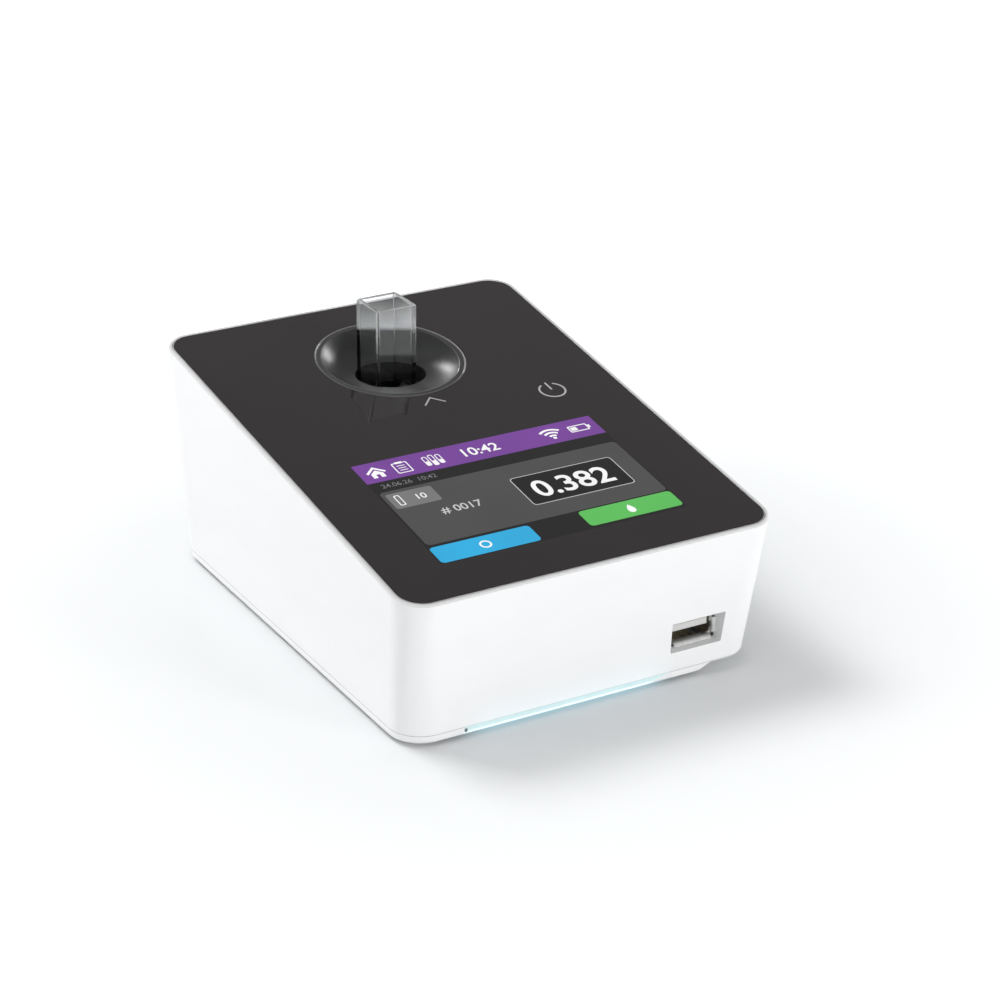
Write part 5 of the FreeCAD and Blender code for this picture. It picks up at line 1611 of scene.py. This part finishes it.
@dataclass
class Studio:
    """Pale floor, plain soft light and the camera of the picture.

    Attributes:
        eye: Camera place in millimetres.
        right: Direction to the picture's right.
        up: Direction to the picture's top.
        lens: Focal length for a 36 mm wide picture.
        floor_radius: Radius of the floor in metres.
        floor_drop: How far the floor lies under the feet, in metres.
        floor_colour: Colour of the floor.
        floor_white: Extra white of the floor near the instrument and far from it; having less near it paints shade
            round the instrument.
        shade_halo_reach: Distances where the painted shade round the instrument is full and where it has faded, in
            metres.
        sky: Strength of the light from all round.
        sky_colour: Its colour.
        gloss_rise: Heights where the sky that gloss shows starts to darken and is darkest.
        gloss_dark: Its darkest level.
        aim: The point that the soft lamps face, in metres.
        lamps: Name, place in metres, width in metres and power in watts of each soft lamp.
        glints: The same for the small round lamps that only gloss shows, such as the sample bowl: name, the
            point of the bowl that shows it, the direction from there and power.
        glint_away: Distance of those lamps from that point, in metres.
        glint_size: Their width in metres.
    """

    eye: Triple = (-344.60, -614.56, 349.99)
    right: Triple = (0.86621, -0.49960, 0.00894)
    up: Triple = (0.19841, 0.36029, 0.91150)
    lens: float = 100.955
    floor_radius: float = 6.0
    floor_drop: float = 0.00005
    floor_colour: RGB = (0.81, 0.825, 0.835)
    floor_white: Point2 = (0.0, 0.45)
    shade_halo_reach: Point2 = (0.075, 0.25)
    sky: float = 0.50
    sky_colour: RGB = (0.99, 0.995, 1.0)
    gloss_rise: Point2 = (0.05, 0.5)
    gloss_dark: float = 0.33
    aim: Triple = (0.0, 0.0, 0.03)
    lamps: tuple[tuple[str, Triple, float, float], ...] = (
        ("lamp_top_back", (-0.57, 0.82, 1.52), 0.78, 18.6),
        ("lamp_left", (-1.7, 0.55, 0.22), 0.5, 8.3),
        ("lamp_right_front", (0.85, -1.7, 0.22), 0.5, 19.5))
    glints: tuple[tuple[str, Triple, Triple, float], ...] = (
        ("glint_right", (-0.0131, 0.0523, 0.0595), (0.937, 0.290, 0.194), 4.6),
        ("glint_back", (0.0152, 0.0347, 0.0565), (0.117, 0.904, 0.411), 3.0))
    glint_away: float = 1.2
    glint_size: float = 0.24

    def camera(self) -> None:
        """Sets up the camera."""
        data = bpy.data.cameras.new("picture_camera")
        data.lens, data.sensor_width, data.sensor_fit = self.lens, 36.0, "HORIZONTAL"
        data.clip_start, data.clip_end = 0.01, 50.0
        right, up = Vector(self.right).normalized(), Vector(self.up).normalized()
        back = right.cross(up).normalized()
        turn = Matrix((right, back.cross(right), back)).transposed().to_4x4()
        camera = linked("picture_camera", data)
        camera.matrix_world = Matrix.Translation(at(*self.eye)) @ turn
        bpy.context.scene.camera = camera

    def floor(self) -> None:
        """Lays the pale floor, which shows white to the camera and keeps the shadow; its white grows away from the
        instrument, which paints shade round it.
        """
        shape = bmesh.new()
        bmesh.ops.create_circle(shape, cap_ends=True, segments=96, radius=self.floor_radius)
        floor = linked("studio_floor", finished(shape, "studio_floor", recalculate=False))
        floor.location.z = -self.floor_drop
        shader = Shader("studio_floor").set(Base_Color=self.floor_colour, Roughness=0.9, Specular_IOR_Level=0.1,
                                            Emission_Color=WHITE)
        rays = shader.node("ShaderNodeLightPath").outputs
        seen = shader.math("MAXIMUM", rays["Is Camera Ray"], rays["Is Glossy Ray"], rays["Is Transmission Ray"])
        away = shader.node("ShaderNodeVectorMath", {0: shader.place}, operation="LENGTH").outputs["Value"]
        # Painted shade: less extra white near the instrument.
        white = shader.ramp(away, self.shade_halo_reach, self.floor_white)
        shader.set(Emission_Strength=shader.math("MULTIPLY", seen, white))
        floor.data.materials.append(shader.material)

    def lamp(self, name: str, place: Triple, aim: Triple, size: float, power: float) -> bpy.types.Object:
        """Hangs a soft square lamp that glossy surfaces don't show.

        Args:
            name: Name of the lamp.
            place: Where it hangs, in metres.
            aim: The point that it faces, in metres.
            size: Width of its face in metres.
            power: Power in watts.

        Returns:
            The lamp.
        """
        data = bpy.data.lights.new(name, "AREA")
        data.shape, data.size, data.energy = "SQUARE", size, power
        lamp = linked(name, data)
        lamp.location = place
        lamp.rotation_euler = (Vector(aim) - Vector(place)).to_track_quat("-Z", "Y").to_euler()
        lamp.visible_glossy = lamp.visible_camera = False
        return lamp

    def glint(self, name: str, place: Triple, toward: Triple, power: float) -> None:
        """Hangs a small round lamp that only glossy surfaces show.

        Args:
            name: Name of the lamp.
            place: The point of the bowl that shows it, in metres.
            toward: Direction from there to the lamp.
            power: Power in watts.
        """
        spot = Vector(place) + Vector(toward).normalized() * self.glint_away
        lamp = self.lamp(name, tuple(spot), place, self.glint_size, power)
        lamp.data.shape = "DISK"
        lamp.visible_glossy, lamp.visible_diffuse = True, False

    def world(self) -> None:
        """Surrounds the scene with pale light: white near the horizon, darker overhead where gloss looks."""
        world = bpy.data.worlds.new("studio_world")
        bpy.context.scene.world = world
        world.use_nodes = True
        tree = NodeTree(world.node_tree)
        way = tree.node("ShaderNodeSeparateXYZ", {0: tree.node("ShaderNodeTexCoord").outputs["Generated"]})
        fall = tree.node("ShaderNodeValToRGB", {"Fac": way.outputs["Z"]})
        for stop, height, level in zip(fall.color_ramp.elements, self.gloss_rise, (1.0, self.gloss_dark)):
            stop.position, stop.color = height, (level, level, level, 1.0)
        light = tree.node("ShaderNodeBackground", {"Color": self.sky_colour, "Strength": self.sky})
        gloss = tree.node("ShaderNodeBackground", {"Color": fall.outputs["Color"]})
        white = tree.node("ShaderNodeBackground", {"Color": WHITE})
        rays = tree.node("ShaderNodeLightPath").outputs
        for ray, shown in (("Is Glossy Ray", gloss), ("Is Transmission Ray", gloss), ("Is Camera Ray", white)):
            light = tree.node("ShaderNodeMixShader", {0: rays[ray], 1: light.outputs[0], 2: shown.outputs[0]})
        tree.node("ShaderNodeOutputWorld", {"Surface": light.outputs[0]})

    def build(self) -> None:
        """Makes the whole studio."""
        self.camera()
        self.floor()
        self.world()
        for name, place, size, power in self.lamps:
            self.lamp(name, place, self.aim, size, power)
        for glint in self.glints:
            self.glint(*glint)
        bpy.context.scene.view_settings.view_transform = "Standard"


def main() -> None:
    """Builds the studio and every sub-assembly, and reports each piece."""
    logging.basicConfig(level=logging.INFO, format="%(name)s: %(message)s")
    Studio().build()
    wardrobe = Wardrobe()
    wardrobe.dress()
    for assembly in (GlassPanel(), SampleBowl(), UsbSocket(), Cuvette(), Screen(), StripEnd(), BaseScrews(),
                     BoardParts()):
        assembly.build(wardrobe)


if __name__ == "__main__":
    main()
